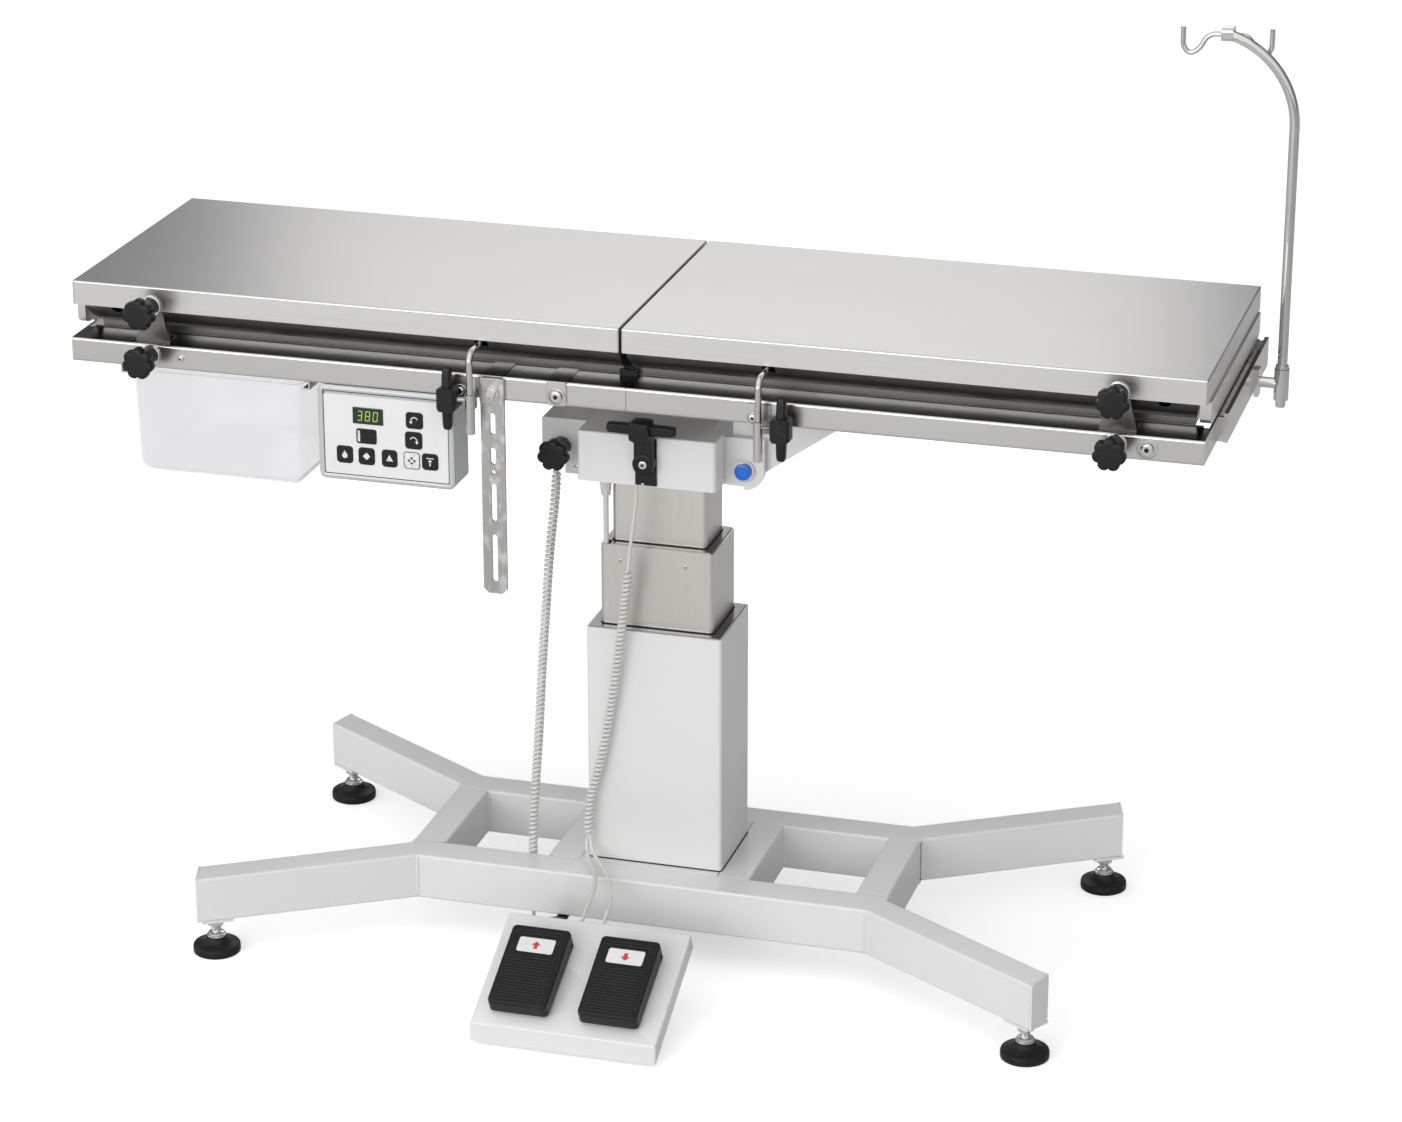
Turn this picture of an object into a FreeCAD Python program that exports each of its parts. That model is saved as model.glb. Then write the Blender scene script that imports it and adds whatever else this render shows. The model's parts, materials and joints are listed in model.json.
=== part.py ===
import FreeCAD, Part
import math
import os

# Height-adjustable operating table with a two-section top.
# Origin: centre of the base on the floor. +X to the right end, +Y to the back, +Z up. Millimetres.

# General fits and gaps
run_gap = 0.06
slide_gap = 0.08
rest_gap = 0.3
sheet = 1.5
tube_wall = 2.5
pick_tol = 1e-6
corner_share = 0.45

# Top sections
table_length = 1400.0
table_width = 380.0
top_z = 856.0
skirt_height = 30.0
split_gap = 2.5
leaf_round = 2.5
leaf_top_round = 2.0
pan_height = 39.7
pan_inset_top = 10.0
pan_inset_bottom = 45.0
pan_end_top = 10.0
pan_end_bottom = 20.0
pan_inner_top = 4.0
pan_inner_bottom = 7.0
pan_bulge = 3.0
pan_lip_height = 8.5
pan_lip_lean = 1.0
heater_thick = 4.0
heater_margin = 30.0
section_pivot_inset = 103.0
section_pivot_up = 6.0
pan_hole_inset = 52.0
pan_hole_r = 7.5
pan_hole_drop = 4.0
rod_slot_width = 16.0
rod_slot_height = 10.0

# Under-frame
rail_depth = 50.0
rail_height = 30.0
rail_round = 3.0
rail_proud = 9.0
rail_seam_x = 10.0
rail_seam_gap = 0.6
end_plate = 3.0
crossbar_width = 40.0
crossbar_xs = (-440.0, -110.0, 122.0, 440.0)
ear_thick = 5.0
ear_gap = 1.0
ear_foot_width = 44.0
ear_foot_depth = 22.0
ear_foot_thick = 4.0
ear_round = 11.0
bracket_x = -76.0
bracket_width = 24.0
bracket_drop = 8.0
bracket_strap = 1.2
bracket_round = 5.0
washer_r = 8.5
washer_thick = 1.6
screw_head_r = 5.0
screw_head_thick = 3.2
screw_head_round = 1.6
small_screw_r = 4.0
tiny_screw_r = 2.6
rod_screw_r = 6.5
wide_washer_r = 12.5
right_screw_inset = 59.0
left_screw_inset = 82.0
small_screw_inset = 143.0
rear_bolt_head = (9.0, 5.7)
rear_bolt_proud = 2.0

# Lifting rods and wing screws
rod_x = 178.0
rod_r = 4.0
rod_stand_off = 21.0
rod_bend = 12.0
rod_low_z = 720.0
rod_leg_z = 818.0
rod_leg_reach = 20.0
guide_tube_r = 5.8
guide_tube_z = (718.0, 767.0)
guide_block_half = 3.0
guide_block_low_z = 746.0
guide_plate_x = ((-206.0, -177.0), (160.0, 188.0))
guide_plate_thick = 3.0
guide_plate_drop = 4.0
guide_screw_over = 1.0
guide_screw_x = (-196.0, 167.0)
wing_z = 760.0
wing_stud_r = 3.0
wing_boss_r = 10.0
wing_boss_length = 24.0
wing_gap = 10.0
wing_span = 78.0
wing_width = 12.0
wing_thick = 11.0
wing_blade_start = 7.0
wing_round = 3.0
stud_r = 4.0

# Star knobs
star_r = 20.0
star_lobe_r = 5.2
star_lobes = 7
star_thick = 14.0
star_hub_r = 9.0
star_core_over = 1.0
star_reach = 36.0
flange_r = 13.0
flange_thick = 3.0
lower_knob_z = 773.0
upper_stud_proud = 1.0
lower_stud_length = 12.0

# Slotted bar
bar_x = -156.0
bar_width = 30.0
bar_thick = 3.0
bar_top_above_bolt = 17.0
bar_bolt_z = 767.0
bar_bottom_z = 509.0
bar_chamfer = 6.0
bar_slot_width = 7.0
bar_slots = ((713.0, 740.0), (675.0, 696.0), (602.0, 650.0), (524.0, 585.0))
bar_hole_z = 665.0
bar_hole_r = 2.6

# Control box
case_x = (-380.0, -206.0)
case_depth = 49.0
case_z = (636.0, 752.0)
case_round = 8.0
case_wall = 3.0
hanger_inset = 40.0
hanger_width = 20.0
hanger_depth = 12.0
panel_margin = 7.0
panel_thick = 1.2
panel_round = 4.0

# Storage bin
bin_end_inset = 72.0
bin_front_inset = 11.0
bin_top_size = (228.0, 208.0)
bin_taper = (17.0, 14.0)
bin_z = (620.0, 751.0)
bin_wall = 2.0
bin_rim = 7.0
bin_rim_thick = 3.0
bin_round = 14.0
runner_lip = 9.0
runner_thick = 2.0
runner_setback = 2.0

# Accessory rail and infusion pole
acc_stand_off = 7.0
acc_thick = 5.0
acc_y = (-108.0, 192.0)
acc_z = (755.0, 791.0)
pole_stand_off = 44.0
pole_y = 90.0
pole_r = 6.0
pole_low_z = 738.0
socket_r = 9.0
socket_z = (747.0, 786.0)
socket_arm_r = 6.5
socket_arm_z = 767.0
socket_flange = (6.0, 17.0, 34.0)
pole_bend_z = 1083.0
pole_bend_r = 110.0
pole_bend_deg = 76.0
hook_r = 3.0
hook_wire = ((-54.0, 4.0), (-54.0, -20.0), (-46.0, -29.0), (-34.0, -22.0), (-24.0, -3.0), (24.0, -3.0),
             (32.0, -20.0), (42.0, -27.0), (51.0, -18.0), (51.0, 6.0))
hook_collar = (14.0, 7.6, 7.6)
hook_collar_over = 1.5
hook_collar_round = 4.0
stop_ring = (8.0, 3.7)

# Head on the column
column_x = 5.0
column_y = -9.0
head_x = (-77.0, 98.0)
head_front_y = -120.0
head_step_y = -78.0
head_back_y = 84.0
head_body_right_x = 82.0
head_z = (635.0, 699.0)
head_wall = 4.0
head_round = 5.0
head_mouth_inset = (10.0, 8.0)
wing_block_x = -135.0
wing_block_depth = 50.0
wing_block_z = (638.0, 697.0)
wing_block_cut = (38.0, 22.0)
wing_block_round = 2.0
pivot_x = 122.0
pivot_z = 652.0
pivot_r = 10.0
head_ear_thick = 8.0
head_ear_round = 25.0
head_ear_top_z = 693.0
head_ear_rear_y = 68.0
head_ear_drop = 2.0
head_ear_heel = 4.0
shaft_ring_r = 14.0
shaft_ring_thick = 4.0
shaft_cap_thick = 5.0
shaft_cap_over = 0.5
shaft_cap_round = 2.0
shaft_end_proud = 2.0
arm_thick = 8.0
arm_gap = 4.0
arm_boss_r = 17.0
arm_top_left_x = 84.0
arm_top_right_x = 300.0
arm_left_drop = 46.0
lock_x = -109.0
lock_z = 662.0
quadrant_thick = 6.0
quadrant_half_width = 13.0
quadrant_slot_deg = 10.5
quadrant_end = 8.0
lock_nut_r = 9.0
lock_nut_thick = 6.0

# Lever on the head's front
lever_x = 11.0
lever_z = 668.0
lever_plate_width = 27.0
lever_plate_reach = (31.0, 29.0)
lever_plate_thick = 3.0
lever_boss_r = 13.5
lever_boss_thick = 9.0
lever_arm_width = 24.0
lever_hub_r = 14.0
lever_hub_up = 35.0
lever_hub_height = 23.0
lever_hub_round = 6.0
lever_hub_sink = 2.0
lever_bar_r = 5.0
lever_bar_half = 42.0
lever_bar_up = 48.0
lever_bar_out = 20.0
lever_pin_head_r = 6.0
lever_pin_head_thick = 3.0

# Column sleeves
outer_size = (175.0, 129.0)
outer_z = (110.0, 424.0)
outer_wall = 3.0
middle_size = (145.0, 101.0)
middle_z = (136.0, 531.0)
inner_size = (121.0, 76.0)
inner_low_z = 212.0
sleeve_round = 5.0
glide_height = 14.0
glide_proud = 1.4
glide_notch_over = 1.0

# Lifting actuator
act_x = -10.0
act_tube_r = 20.0
act_rod_r = 14.0
act_case = (90.0, 58.0, 50.0)
act_tube_top_z = 455.0
act_rod_low_z = 262.0
motor_r = 18.0
motor_x = 34.0
motor_height = 116.0

# Base frame
beam_z = (50.0, 110.0)
beam_outer_y = 130.0
beam_inner_y = 84.0
beam_seam_x = 293.0
corner_x = 313.0
corner_y = 94.0
cross_inner_x = 270.5
centre_beam_x = (90.0, 133.0)
leg_tip_outer = (533.0, 278.0)
leg_tip_inner = (545.0, 238.0)
column_plate_thick = 6.0
column_plate_clear = 3.0
floor_plate_thick = 4.0
leg_cap_thick = 3.0
foot_plate_size = 40.0
foot_plate_thick = 4.0
foot_x = 523.0
foot_y = 248.0
foot_stem_r = 6.0
foot_pad_r = 30.0
foot_pad_thick = 11.0
foot_cone_z = 21.0
foot_cone_r = 13.0
foot_nut_r = 11.0
foot_nut_thick = 9.0
foot_stem_top_z = 72.0
foot_stem_clear = 1.0
foot_plate_fit = 0.9
foot_pad_round = 2.5
foot_pad_step = 6.0
foot_washer_thick = 4.0
foot_washer_inset = 1.0

# Pedal unit
unit_x = (-131.0, 104.0)
unit_front = (-402.0, 28.0)
unit_slope_deg = 26.5
unit_length = 174.0
unit_skirt = 22.0
unit_round = 3.0
unit_foot_r = 7.0
unit_foot_inset = 14.0
unit_foot_over = 10.0
unit_foot_trim = (-20.0, 60.0)
pedal_xs = (-73.0, 41.0)
pedal_width = 75.0
pedal_start = 18.0
pedal_length = 120.0
pedal_height = 21.0
pedal_wall = 3.0
pedal_open = -5.0
pedal_lift_back = 1.0
pedal_lift_front = 6.5
pedal_pin_r = 3.0
pedal_pin_inset = 9.0
pedal_pin_height = 7.0
switch_width = 58.0
switch_length = 84.0
switch_height = 11.0
switch_behind_pin = 5.0
switch_recess_x = 6.0
switch_recess_s = (8.0, 30.0)
switch_recess_depth = 5.0
junction_x = (-100.0, 20.0)
junction_s = (92.0, 132.0)
junction_depth = 16.0
arm_bar_x = -100.0
arm_bar_width = 14.0
arm_bar_thick = 4.0
arm_bar_lap = 36.0
arm_bar_bend = (8.0, 4.0)

# Cords
curl_r = 6.0
cord_r = 2.5
knot_r = 5.0
gland_r = (9.0, 6.0)
gland_length = 39.0
gland_grip = 20.0
short_cord_r = 3.5
socket_wall = 1.0
short_cord_x = -61.5
short_cord_y = -53.5
short_cord_low_z = 300.0
left_curl = ((-122.0, -64.0, 640.0), (-122.0, -64.0, 600.0), (-131.0, -67.0, 520.0), (-136.0, -70.0, 440.0),
             (-142.0, -71.0, 360.0), (-146.0, -73.0, 280.0), (-152.0, -74.0, 200.0), (-156.0, -76.0, 130.0),
             (-156.0, -76.0, 76.0))
left_tail = ((-156.0, -76.0, 75.9), (-156.0, -76.0, 56.0), (-154.0, -84.0, 32.0), (-147.0, -103.0, 16.0),
             (-138.0, -130.0, 9.0), (-126.0, -165.0, 8.0), (-112.0, -205.0, 8.0), (-98.0, -243.0, 11.0),
             (-90.0, -272.0, 27.0), (-86.0, -291.2, 61.5))
right_lead = ((-10.0, -92.0, 634.9), (-10.0, -92.0, 610.0), (-15.0, -93.5, 570.0), (-20.0, -94.0, 528.0))
right_curl = ((-21.0, -94.0, 514.0), (-26.0, -92.0, 470.0), (-34.0, -89.0, 410.0), (-43.0, -86.0, 350.0),
              (-53.0, -84.0, 290.0), (-63.0, -84.0, 240.0), (-78.0, -87.0, 190.0), (-78.0, -87.0, 148.0))
right_tail = ((-81.0, -87.0, 147.9), (-81.0, -87.0, 134.0), (-75.0, -99.0, 122.5), (-64.0, -118.0, 118.5),
              (-52.0, -140.0, 116.5), (-44.0, -168.0, 114.0), (-40.0, -198.0, 111.5), (-40.0, -222.0, 106.6),
              (-40.0, -244.5, 95.4))
branch_tail = ((-75.5, -87.0, 147.9), (-75.5, -87.0, 134.0), (-66.0, -100.0, 124.0), (-50.0, -118.0, 120.0),
               (-36.0, -140.0, 118.0), (-24.0, -168.0, 115.5), (-14.0, -198.0, 111.5), (-12.0, -222.0, 106.6),
               (-12.0, -244.5, 95.4))
grommet_drop = 10.0
grommet_r = 4.5
grommet_cut = 3.0

# Worked-out levels and lines
V = FreeCAD.Vector
half_length = table_length / 2
half_width = table_width / 2
skirt_z = top_z - skirt_height
pan_low_z = skirt_z - pan_height
rail_top_z = pan_low_z - rest_gap
rail_low_z = rail_top_z - rail_height
rail_front_y = -(half_width + rail_proud)
rail_inner_y = rail_front_y + rail_depth
section_pivot_z = skirt_z + section_pivot_up
section_pivot_x = half_length - section_pivot_inset
pan_top_half = half_width - pan_inset_top
pan_bottom_half = half_width - pan_inset_bottom
rod_y = rail_front_y - rod_stand_off
rod_leg_end_y = -(pan_top_half - rod_leg_reach)
case_y = (rail_front_y, rail_front_y + case_depth)
bin_top_x = (bin_end_inset - half_length, bin_end_inset - half_length + bin_top_size[0])
bin_bottom_x = (bin_top_x[0] + bin_taper[0], bin_top_x[1] - bin_taper[0])
bin_top_y = (rail_front_y + bin_front_inset, rail_front_y + bin_front_inset + bin_top_size[1])
bin_bottom_y = (bin_top_y[0] + bin_taper[1], bin_top_y[1] - bin_taper[1])
pole_x = half_length + pole_stand_off
lever_plate_z = (lever_z - lever_plate_reach[0], lever_z + lever_plate_reach[1])
lever_hub_z = (lever_z + lever_hub_up, lever_z + lever_hub_up + lever_hub_height)
lever_bar_z = lever_z + lever_bar_up
lever_bar_y = head_front_y - lever_bar_out
gland_low_z = head_z[0] - gland_length
ear_outer_y = -(half_width - sheet - ear_gap)
ear_inner_y = ear_outer_y + ear_thick
slope = math.radians(unit_slope_deg)
lock_radius = math.hypot(lock_x - pivot_x, lock_z - pivot_z)


def box(x, y, z):
    """Block between two values on each axis."""
    return Part.makeBox(x[1] - x[0], y[1] - y[0], z[1] - z[0], V(x[0], y[0], z[0]))


def bar(start, end, radius):
    """Round bar from one point to another."""
    line = V(*end) - V(*start)
    return Part.makeCylinder(radius, line.Length, V(*start), line)


def cone(start, end, radii):
    """Tapered round bar from one point to another."""
    line = V(*end) - V(*start)
    return Part.makeCone(radii[0], radii[1], line.Length, V(*start), line)


def ring(start, end, radius, bore):
    """Round tube from one point to another."""
    return bar(start, end, radius).cut(bar(start, end, bore))


def plate_xy(points, z):
    """Prism with a straight-sided outline in plan."""
    wire = Part.makePolygon([V(x, y, z[0]) for x, y in points] + [V(points[0][0], points[0][1], z[0])])
    return Part.Face(wire).extrude(V(0, 0, z[1] - z[0]))


def plate_xz(points, y):
    """Prism with a straight-sided outline seen from the front."""
    wire = Part.makePolygon([V(x, y[0], z) for x, z in points] + [V(points[0][0], y[0], points[0][1])])
    return Part.Face(wire).extrude(V(0, y[1] - y[0], 0))


def plate_yz(points, x):
    """Prism with a straight-sided outline seen from the right."""
    wire = Part.makePolygon([V(x[0], y, z) for y, z in points] + [V(x[0], points[0][0], points[0][1])])
    return Part.Face(wire).extrude(V(x[1] - x[0], 0, 0))


def edges_along(shape, axis):
    """Straight edges that run along one axis."""
    chosen = []
    for edge in shape.Edges:
        run = edge.Vertexes[-1].Point - edge.Vertexes[0].Point
        if run.Length > 0 and abs(abs(run.dot(axis)) - run.Length) < pick_tol:
            chosen.append(edge)
    return chosen


def round_along(shape, axis, radius):
    """Shape with every straight edge along one axis rounded."""
    return shape.makeFillet(radius, edges_along(shape, axis))


def upright_tube(centre, size, z, wall, radius):
    """Upright rectangular tube with rounded corners."""
    x = (centre[0] - size[0] / 2, centre[0] + size[0] / 2)
    y = (centre[1] - size[1] / 2, centre[1] + size[1] / 2)
    outside = round_along(box(x, y, z), V(0, 0, 1), radius)
    inside = box((x[0] + wall, x[1] - wall), (y[0] + wall, y[1] - wall), z)
    return outside.cut(round_along(inside, V(0, 0, 1), radius - wall))


def route_path(name, points):
    """Straight runs joined by tangent arcs, as large as the runs allow."""
    spots = [V(*point) for point in points]
    edges = []
    start = spots[0]
    radii = []
    for before, corner, after in zip(spots, spots[1:], spots[2:]):
        back = before - corner
        ahead = after - corner
        half_turn = (math.pi - back.getAngle(ahead)) / 2
        reach = corner_share * min(back.Length, ahead.Length)
        radius = reach / math.tan(half_turn)
        radii.append(radius)
        back.normalize()
        ahead.normalize()
        first = corner + back * reach
        last = corner + ahead * reach
        inward = (back + ahead).normalize()
        middle = corner + inward * (radius / math.cos(half_turn) - radius)
        edges.append(Part.LineSegment(start, first).toShape())
        edges.append(Part.Arc(first, middle, last).toShape())
        start = last
    edges.append(Part.LineSegment(start, spots[-1]).toShape())
    if radii:
        print(name, "radii", [round(value) for value in radii])
    return Part.Wire(edges)


def cord_tube(name, points, radius):
    """Round cord along a route."""
    path = route_path(name, points)
    run = V(*points[1]) - V(*points[0])
    section = Part.Wire(Part.makeCircle(radius, V(*points[0]), run))
    tube = path.makePipeShell([section], True, False)
    expected = math.pi * radius ** 2 * path.Length
    print(name, "length", round(path.Length, 1), "volume ratio", round(tube.Volume / expected, 4))
    return tube


def save(name, solids):
    """Write one node, a single solid or a group of separate ones."""
    shape = solids[0] if len(solids) == 1 else Part.makeCompound(solids)
    shape.exportStep("parts/" + name + ".step")


def mirrored(shape, normal):
    """Copy on the other side of a plane through the origin."""
    return shape.mirror(V(0, 0, 0), normal)


# Base frame

def side_beam():
    """Front beam with mitred ends; the rear one mirrors it."""
    outline = ((-beam_seam_x, -beam_outer_y), (beam_seam_x, -beam_outer_y), (corner_x, -corner_y),
               (corner_x, -beam_inner_y), (-corner_x, -beam_inner_y), (-corner_x, -corner_y))
    beam = plate_xy(outline, beam_z)
    hollow = box((-corner_x, corner_x), (-beam_outer_y + tube_wall, -beam_inner_y - tube_wall),
                 (beam_z[0] + tube_wall, beam_z[1] - tube_wall))
    return beam.cut(hollow)


def cross_beam(x):
    """Cross beam between the side beams."""
    beam = box(x, (-beam_inner_y, beam_inner_y), beam_z)
    hollow = box((x[0] + tube_wall, x[1] - tube_wall), (-beam_inner_y, beam_inner_y),
                 (beam_z[0] + tube_wall, beam_z[1] - tube_wall))
    return beam.cut(hollow)


def leg_frame():
    """Start, direction, width and length of the front right leg's centre line."""
    outer = V(leg_tip_outer[0] - beam_seam_x, -(leg_tip_outer[1] - beam_outer_y), 0)
    along = V(outer)
    along.normalize()
    side = V(-along.y, along.x, 0)
    width = side.dot(V(corner_x - beam_seam_x, beam_outer_y - corner_y, 0))
    return along, side, width


def base_leg():
    """Front right leg, a tube open at its mitred foot and at its tip."""
    outline = ((beam_seam_x, -beam_outer_y), (leg_tip_outer[0], -leg_tip_outer[1]),
               (leg_tip_inner[0], -leg_tip_inner[1]), (corner_x, -corner_y))
    leg = plate_xy(outline, beam_z)
    along, side, width = leg_frame()
    start = V(beam_seam_x, -beam_outer_y, 0) - along * width
    first = start + side * tube_wall
    last = start + side * (width - tube_wall)
    run = along * table_width
    hollow = plate_xy(((first.x, first.y), ((first + run).x, (first + run).y),
                       ((last + run).x, (last + run).y), (last.x, last.y)),
                      (beam_z[0] + tube_wall, beam_z[1] - tube_wall))
    stem_hole = bar((foot_x, -foot_y, 0), (foot_x, -foot_y, beam_z[0] + tube_wall),
                    foot_stem_r + foot_stem_clear)
    return leg.cut(hollow).cut(stem_hole)


def leg_cap():
    """Plate that closes the leg's tip."""
    tip_outer = V(leg_tip_outer[0], -leg_tip_outer[1], 0)
    tip_inner = V(leg_tip_inner[0], -leg_tip_inner[1], 0)
    edge = tip_inner - tip_outer
    edge.normalize()
    outward = V(edge.y, -edge.x, 0) * leg_cap_thick
    corners = (tip_outer, tip_inner, tip_inner + outward, tip_outer + outward)
    return plate_xy([(corner.x, corner.y) for corner in corners], beam_z)


def foot_plate():
    """Threaded plate under the leg's tip."""
    along, side, width = leg_frame()
    half = foot_plate_size / 2
    centre = V(foot_x, -foot_y, 0)
    corners = [centre + along * (a * half) + side * (b * half * width / foot_plate_size * foot_plate_fit)
               for a, b in ((-1, -1), (1, -1), (1, 1), (-1, 1))]
    plate = plate_xy([(corner.x, corner.y) for corner in corners], (beam_z[0] - foot_plate_thick, beam_z[0]))
    return plate.cut(bar((foot_x, -foot_y, 0), (foot_x, -foot_y, beam_z[0]), foot_stem_r + run_gap))


def foot(x, y):
    """Levelling foot: pad, and stem with its nut."""
    nut_top = beam_z[0] - foot_plate_thick - rest_gap
    pad = bar((x, y, 0), (x, y, foot_pad_thick), foot_pad_r)
    pad = pad.makeFillet(foot_pad_round, [edge for edge in pad.Edges if edge.Length > foot_pad_r])
    pad = pad.fuse(cone((x, y, foot_pad_thick), (x, y, foot_cone_z),
                        (foot_pad_r - foot_pad_step, foot_cone_r)))
    stem = bar((x, y, foot_cone_z), (x, y, foot_stem_top_z), foot_stem_r)
    nut = bar((x, y, nut_top - foot_nut_thick), (x, y, nut_top), foot_nut_r)
    washer = bar((x, y, foot_cone_z), (x, y, foot_cone_z + foot_washer_thick),
                 foot_cone_r - foot_washer_inset)
    return [pad, stem.fuse([nut, washer])]


def column_plates():
    """Top plate that carries the column, and floor plate below it."""
    x = (-centre_beam_x[0], centre_beam_x[0])
    y = (-beam_inner_y, beam_inner_y)
    top = box(x, y, (beam_z[1] - column_plate_thick, beam_z[1]))
    hole_x = middle_size[0] / 2 + column_plate_clear
    hole_y = middle_size[1] / 2 + column_plate_clear
    top = top.cut(box((column_x - hole_x, column_x + hole_x), (column_y - hole_y, column_y + hole_y), beam_z))
    floor = box(x, y, (beam_z[0], beam_z[0] + floor_plate_thick))
    return [top, floor]


# Column

def glide(outer, inner, top_z_value, corner_notch):
    """Plastic collar in the mouth of a sleeve."""
    z = (top_z_value - glide_height + glide_proud, top_z_value + glide_proud)
    wide = (outer[0] - outer[1] * 2, outer[2] - outer[1] * 2)
    hole = (inner[0] + slide_gap * 2, inner[1] + slide_gap * 2)
    wall = (wide[0] - hole[0]) / 2
    wall_y = (wide[1] - hole[1]) / 2
    x = (column_x - wide[0] / 2, column_x + wide[0] / 2)
    y = (column_y - wide[1] / 2, column_y + wide[1] / 2)
    collar = round_along(box(x, y, z), V(0, 0, 1), sleeve_round - outer[1])
    hollow = box((x[0] + wall, x[1] - wall), (y[0] + wall_y, y[1] - wall_y), z)
    collar = collar.cut(hollow)
    if corner_notch:
        collar = collar.cut(box((x[0], x[0] + wall + glide_notch_over),
                                (y[0], y[0] + wall_y + glide_notch_over), z))
    return collar


def lift_actuator():
    """Gear case, motor and outer tube, standing on the floor plate."""
    low = beam_z[0] + floor_plate_thick
    case = box((column_x - act_case[0] / 2, column_x + act_case[0] / 2),
               (column_y - act_case[1] / 2, column_y + act_case[1] / 2), (low, low + act_case[2]))
    case_top = low + act_case[2]
    motor = bar((motor_x, column_y, case_top), (motor_x, column_y, case_top + motor_height), motor_r)
    tube = ring((act_x, column_y, case_top), (act_x, column_y, act_tube_top_z), act_tube_r,
                act_rod_r + run_gap)
    return [case, motor, tube]


def actuator_rod():
    """Push rod up to the head's top plate."""
    return bar((act_x, column_y, act_rod_low_z), (act_x, column_y, head_z[1] - head_wall), act_rod_r)


# Head

def head_outline(inset):
    """Plan of the head: a wide front block and a narrower body."""
    return ((head_x[0] + inset, head_front_y + inset), (head_x[1] - inset, head_front_y + inset),
            (head_x[1] - inset, head_step_y - inset), (head_body_right_x - inset, head_step_y - inset),
            (head_body_right_x - inset, head_back_y - inset), (head_x[0] + inset, head_back_y - inset))


def head_housing():
    """Folded and welded head casing, open below inside the inner sleeve."""
    body = plate_xy(head_outline(0), head_z)
    corners = [edge for edge in edges_along(body, V(0, 0, 1))
               if edge.distToShape(Part.Vertex(head_body_right_x, head_step_y, head_z[0]))[0] > head_wall]
    body = body.makeFillet(head_round, corners)
    top = [edge for edge in body.Edges if abs(edge.BoundBox.ZMin - head_z[1]) < pick_tol]
    body = body.makeFillet(head_round / 2, top)
    cavity = plate_xy(head_outline(head_wall), (head_z[0] + head_wall, head_z[1] - head_wall))
    half = (inner_size[0] / 2 - head_mouth_inset[0], inner_size[1] / 2 - head_mouth_inset[1])
    mouth = box((column_x - half[0], column_x + half[0]), (column_y - half[1], column_y + half[1]),
                (head_z[0], head_z[0] + head_wall))
    return body.cut(cavity).cut(mouth)


def wing_body():
    """Left wing before its stud hole is bored."""
    low, high = wing_block_z
    outline = ((head_x[0], low), (head_x[0], high), (wing_block_x, high),
               (wing_block_x, low + wing_block_cut[1]), (wing_block_x + wing_block_cut[0], low))
    y = (head_step_y, head_step_y + wing_block_depth)
    return round_along(plate_xz(outline, y), V(0, 1, 0), wing_block_round)


def head_wing():
    """Left wing that carries the tilt lock."""
    hole = bar((lock_x, head_step_y, lock_z), (lock_x, head_step_y + wing_block_depth, lock_z),
               stud_r + run_gap)
    return wing_body().cut(hole)


def head_ear(y):
    """Painted ear that holds the tilt shaft."""
    outline = ((head_body_right_x, head_z[0] - head_ear_drop),
               (pivot_x, pivot_z - head_ear_round + head_ear_heel),
               (pivot_x, head_ear_top_z), (head_body_right_x, head_ear_top_z))
    ear = plate_xz(outline, y)
    right = pivot_x + head_ear_round
    block = box((pivot_x, right), y, (pivot_z, head_ear_top_z))
    lower = bar((pivot_x, y[0], pivot_z), (pivot_x, y[1], pivot_z), head_ear_round)
    reach = head_ear_round * 2
    lower = lower.cut(box((pivot_x - reach, pivot_x), y, (pivot_z - reach, pivot_z + reach)))
    lower = lower.cut(box((pivot_x, right), y, (pivot_z, pivot_z + reach)))
    ear = ear.fuse([block, lower]).removeSplitter()
    return ear.cut(bar((pivot_x, y[0], pivot_z), (pivot_x, y[1], pivot_z), pivot_r + run_gap))


def tilt_shaft():
    """Shaft through the ears with a ring at its front."""
    front = head_step_y
    shaft = bar((pivot_x, front - shaft_ring_thick, pivot_z),
                (pivot_x, head_ear_rear_y + shaft_end_proud, pivot_z), pivot_r)
    collar = bar((pivot_x, front - shaft_ring_thick, pivot_z), (pivot_x, front, pivot_z), shaft_ring_r)
    return shaft.fuse(collar).removeSplitter()


def shaft_cap():
    """Domed cap on the shaft's front end."""
    back = head_step_y - shaft_ring_thick
    cap = bar((pivot_x, back, pivot_z), (pivot_x, back - shaft_cap_thick, pivot_z), pivot_r + shaft_cap_over)
    front_rim = [edge for edge in cap.Edges if abs(edge.BoundBox.YMax - back + shaft_cap_thick) < pick_tol]
    return cap.makeFillet(shaft_cap_round, front_rim)


def lever_plate():
    """Plate on the head's front with the lever's pivot screw."""
    y = (head_front_y - lever_plate_thick, head_front_y)
    half = lever_plate_width / 2
    plate = box((lever_x - half, lever_x + half), y, lever_plate_z)
    boss_front = y[0] - lever_boss_thick - rest_gap * 2
    pin = bar((lever_x, y[0], lever_z), (lever_x, boss_front, lever_z), stud_r)
    head = bar((lever_x, boss_front, lever_z), (lever_x, boss_front - lever_pin_head_thick, lever_z),
               lever_pin_head_r)
    return plate.fuse([pin, head]).removeSplitter()


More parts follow.
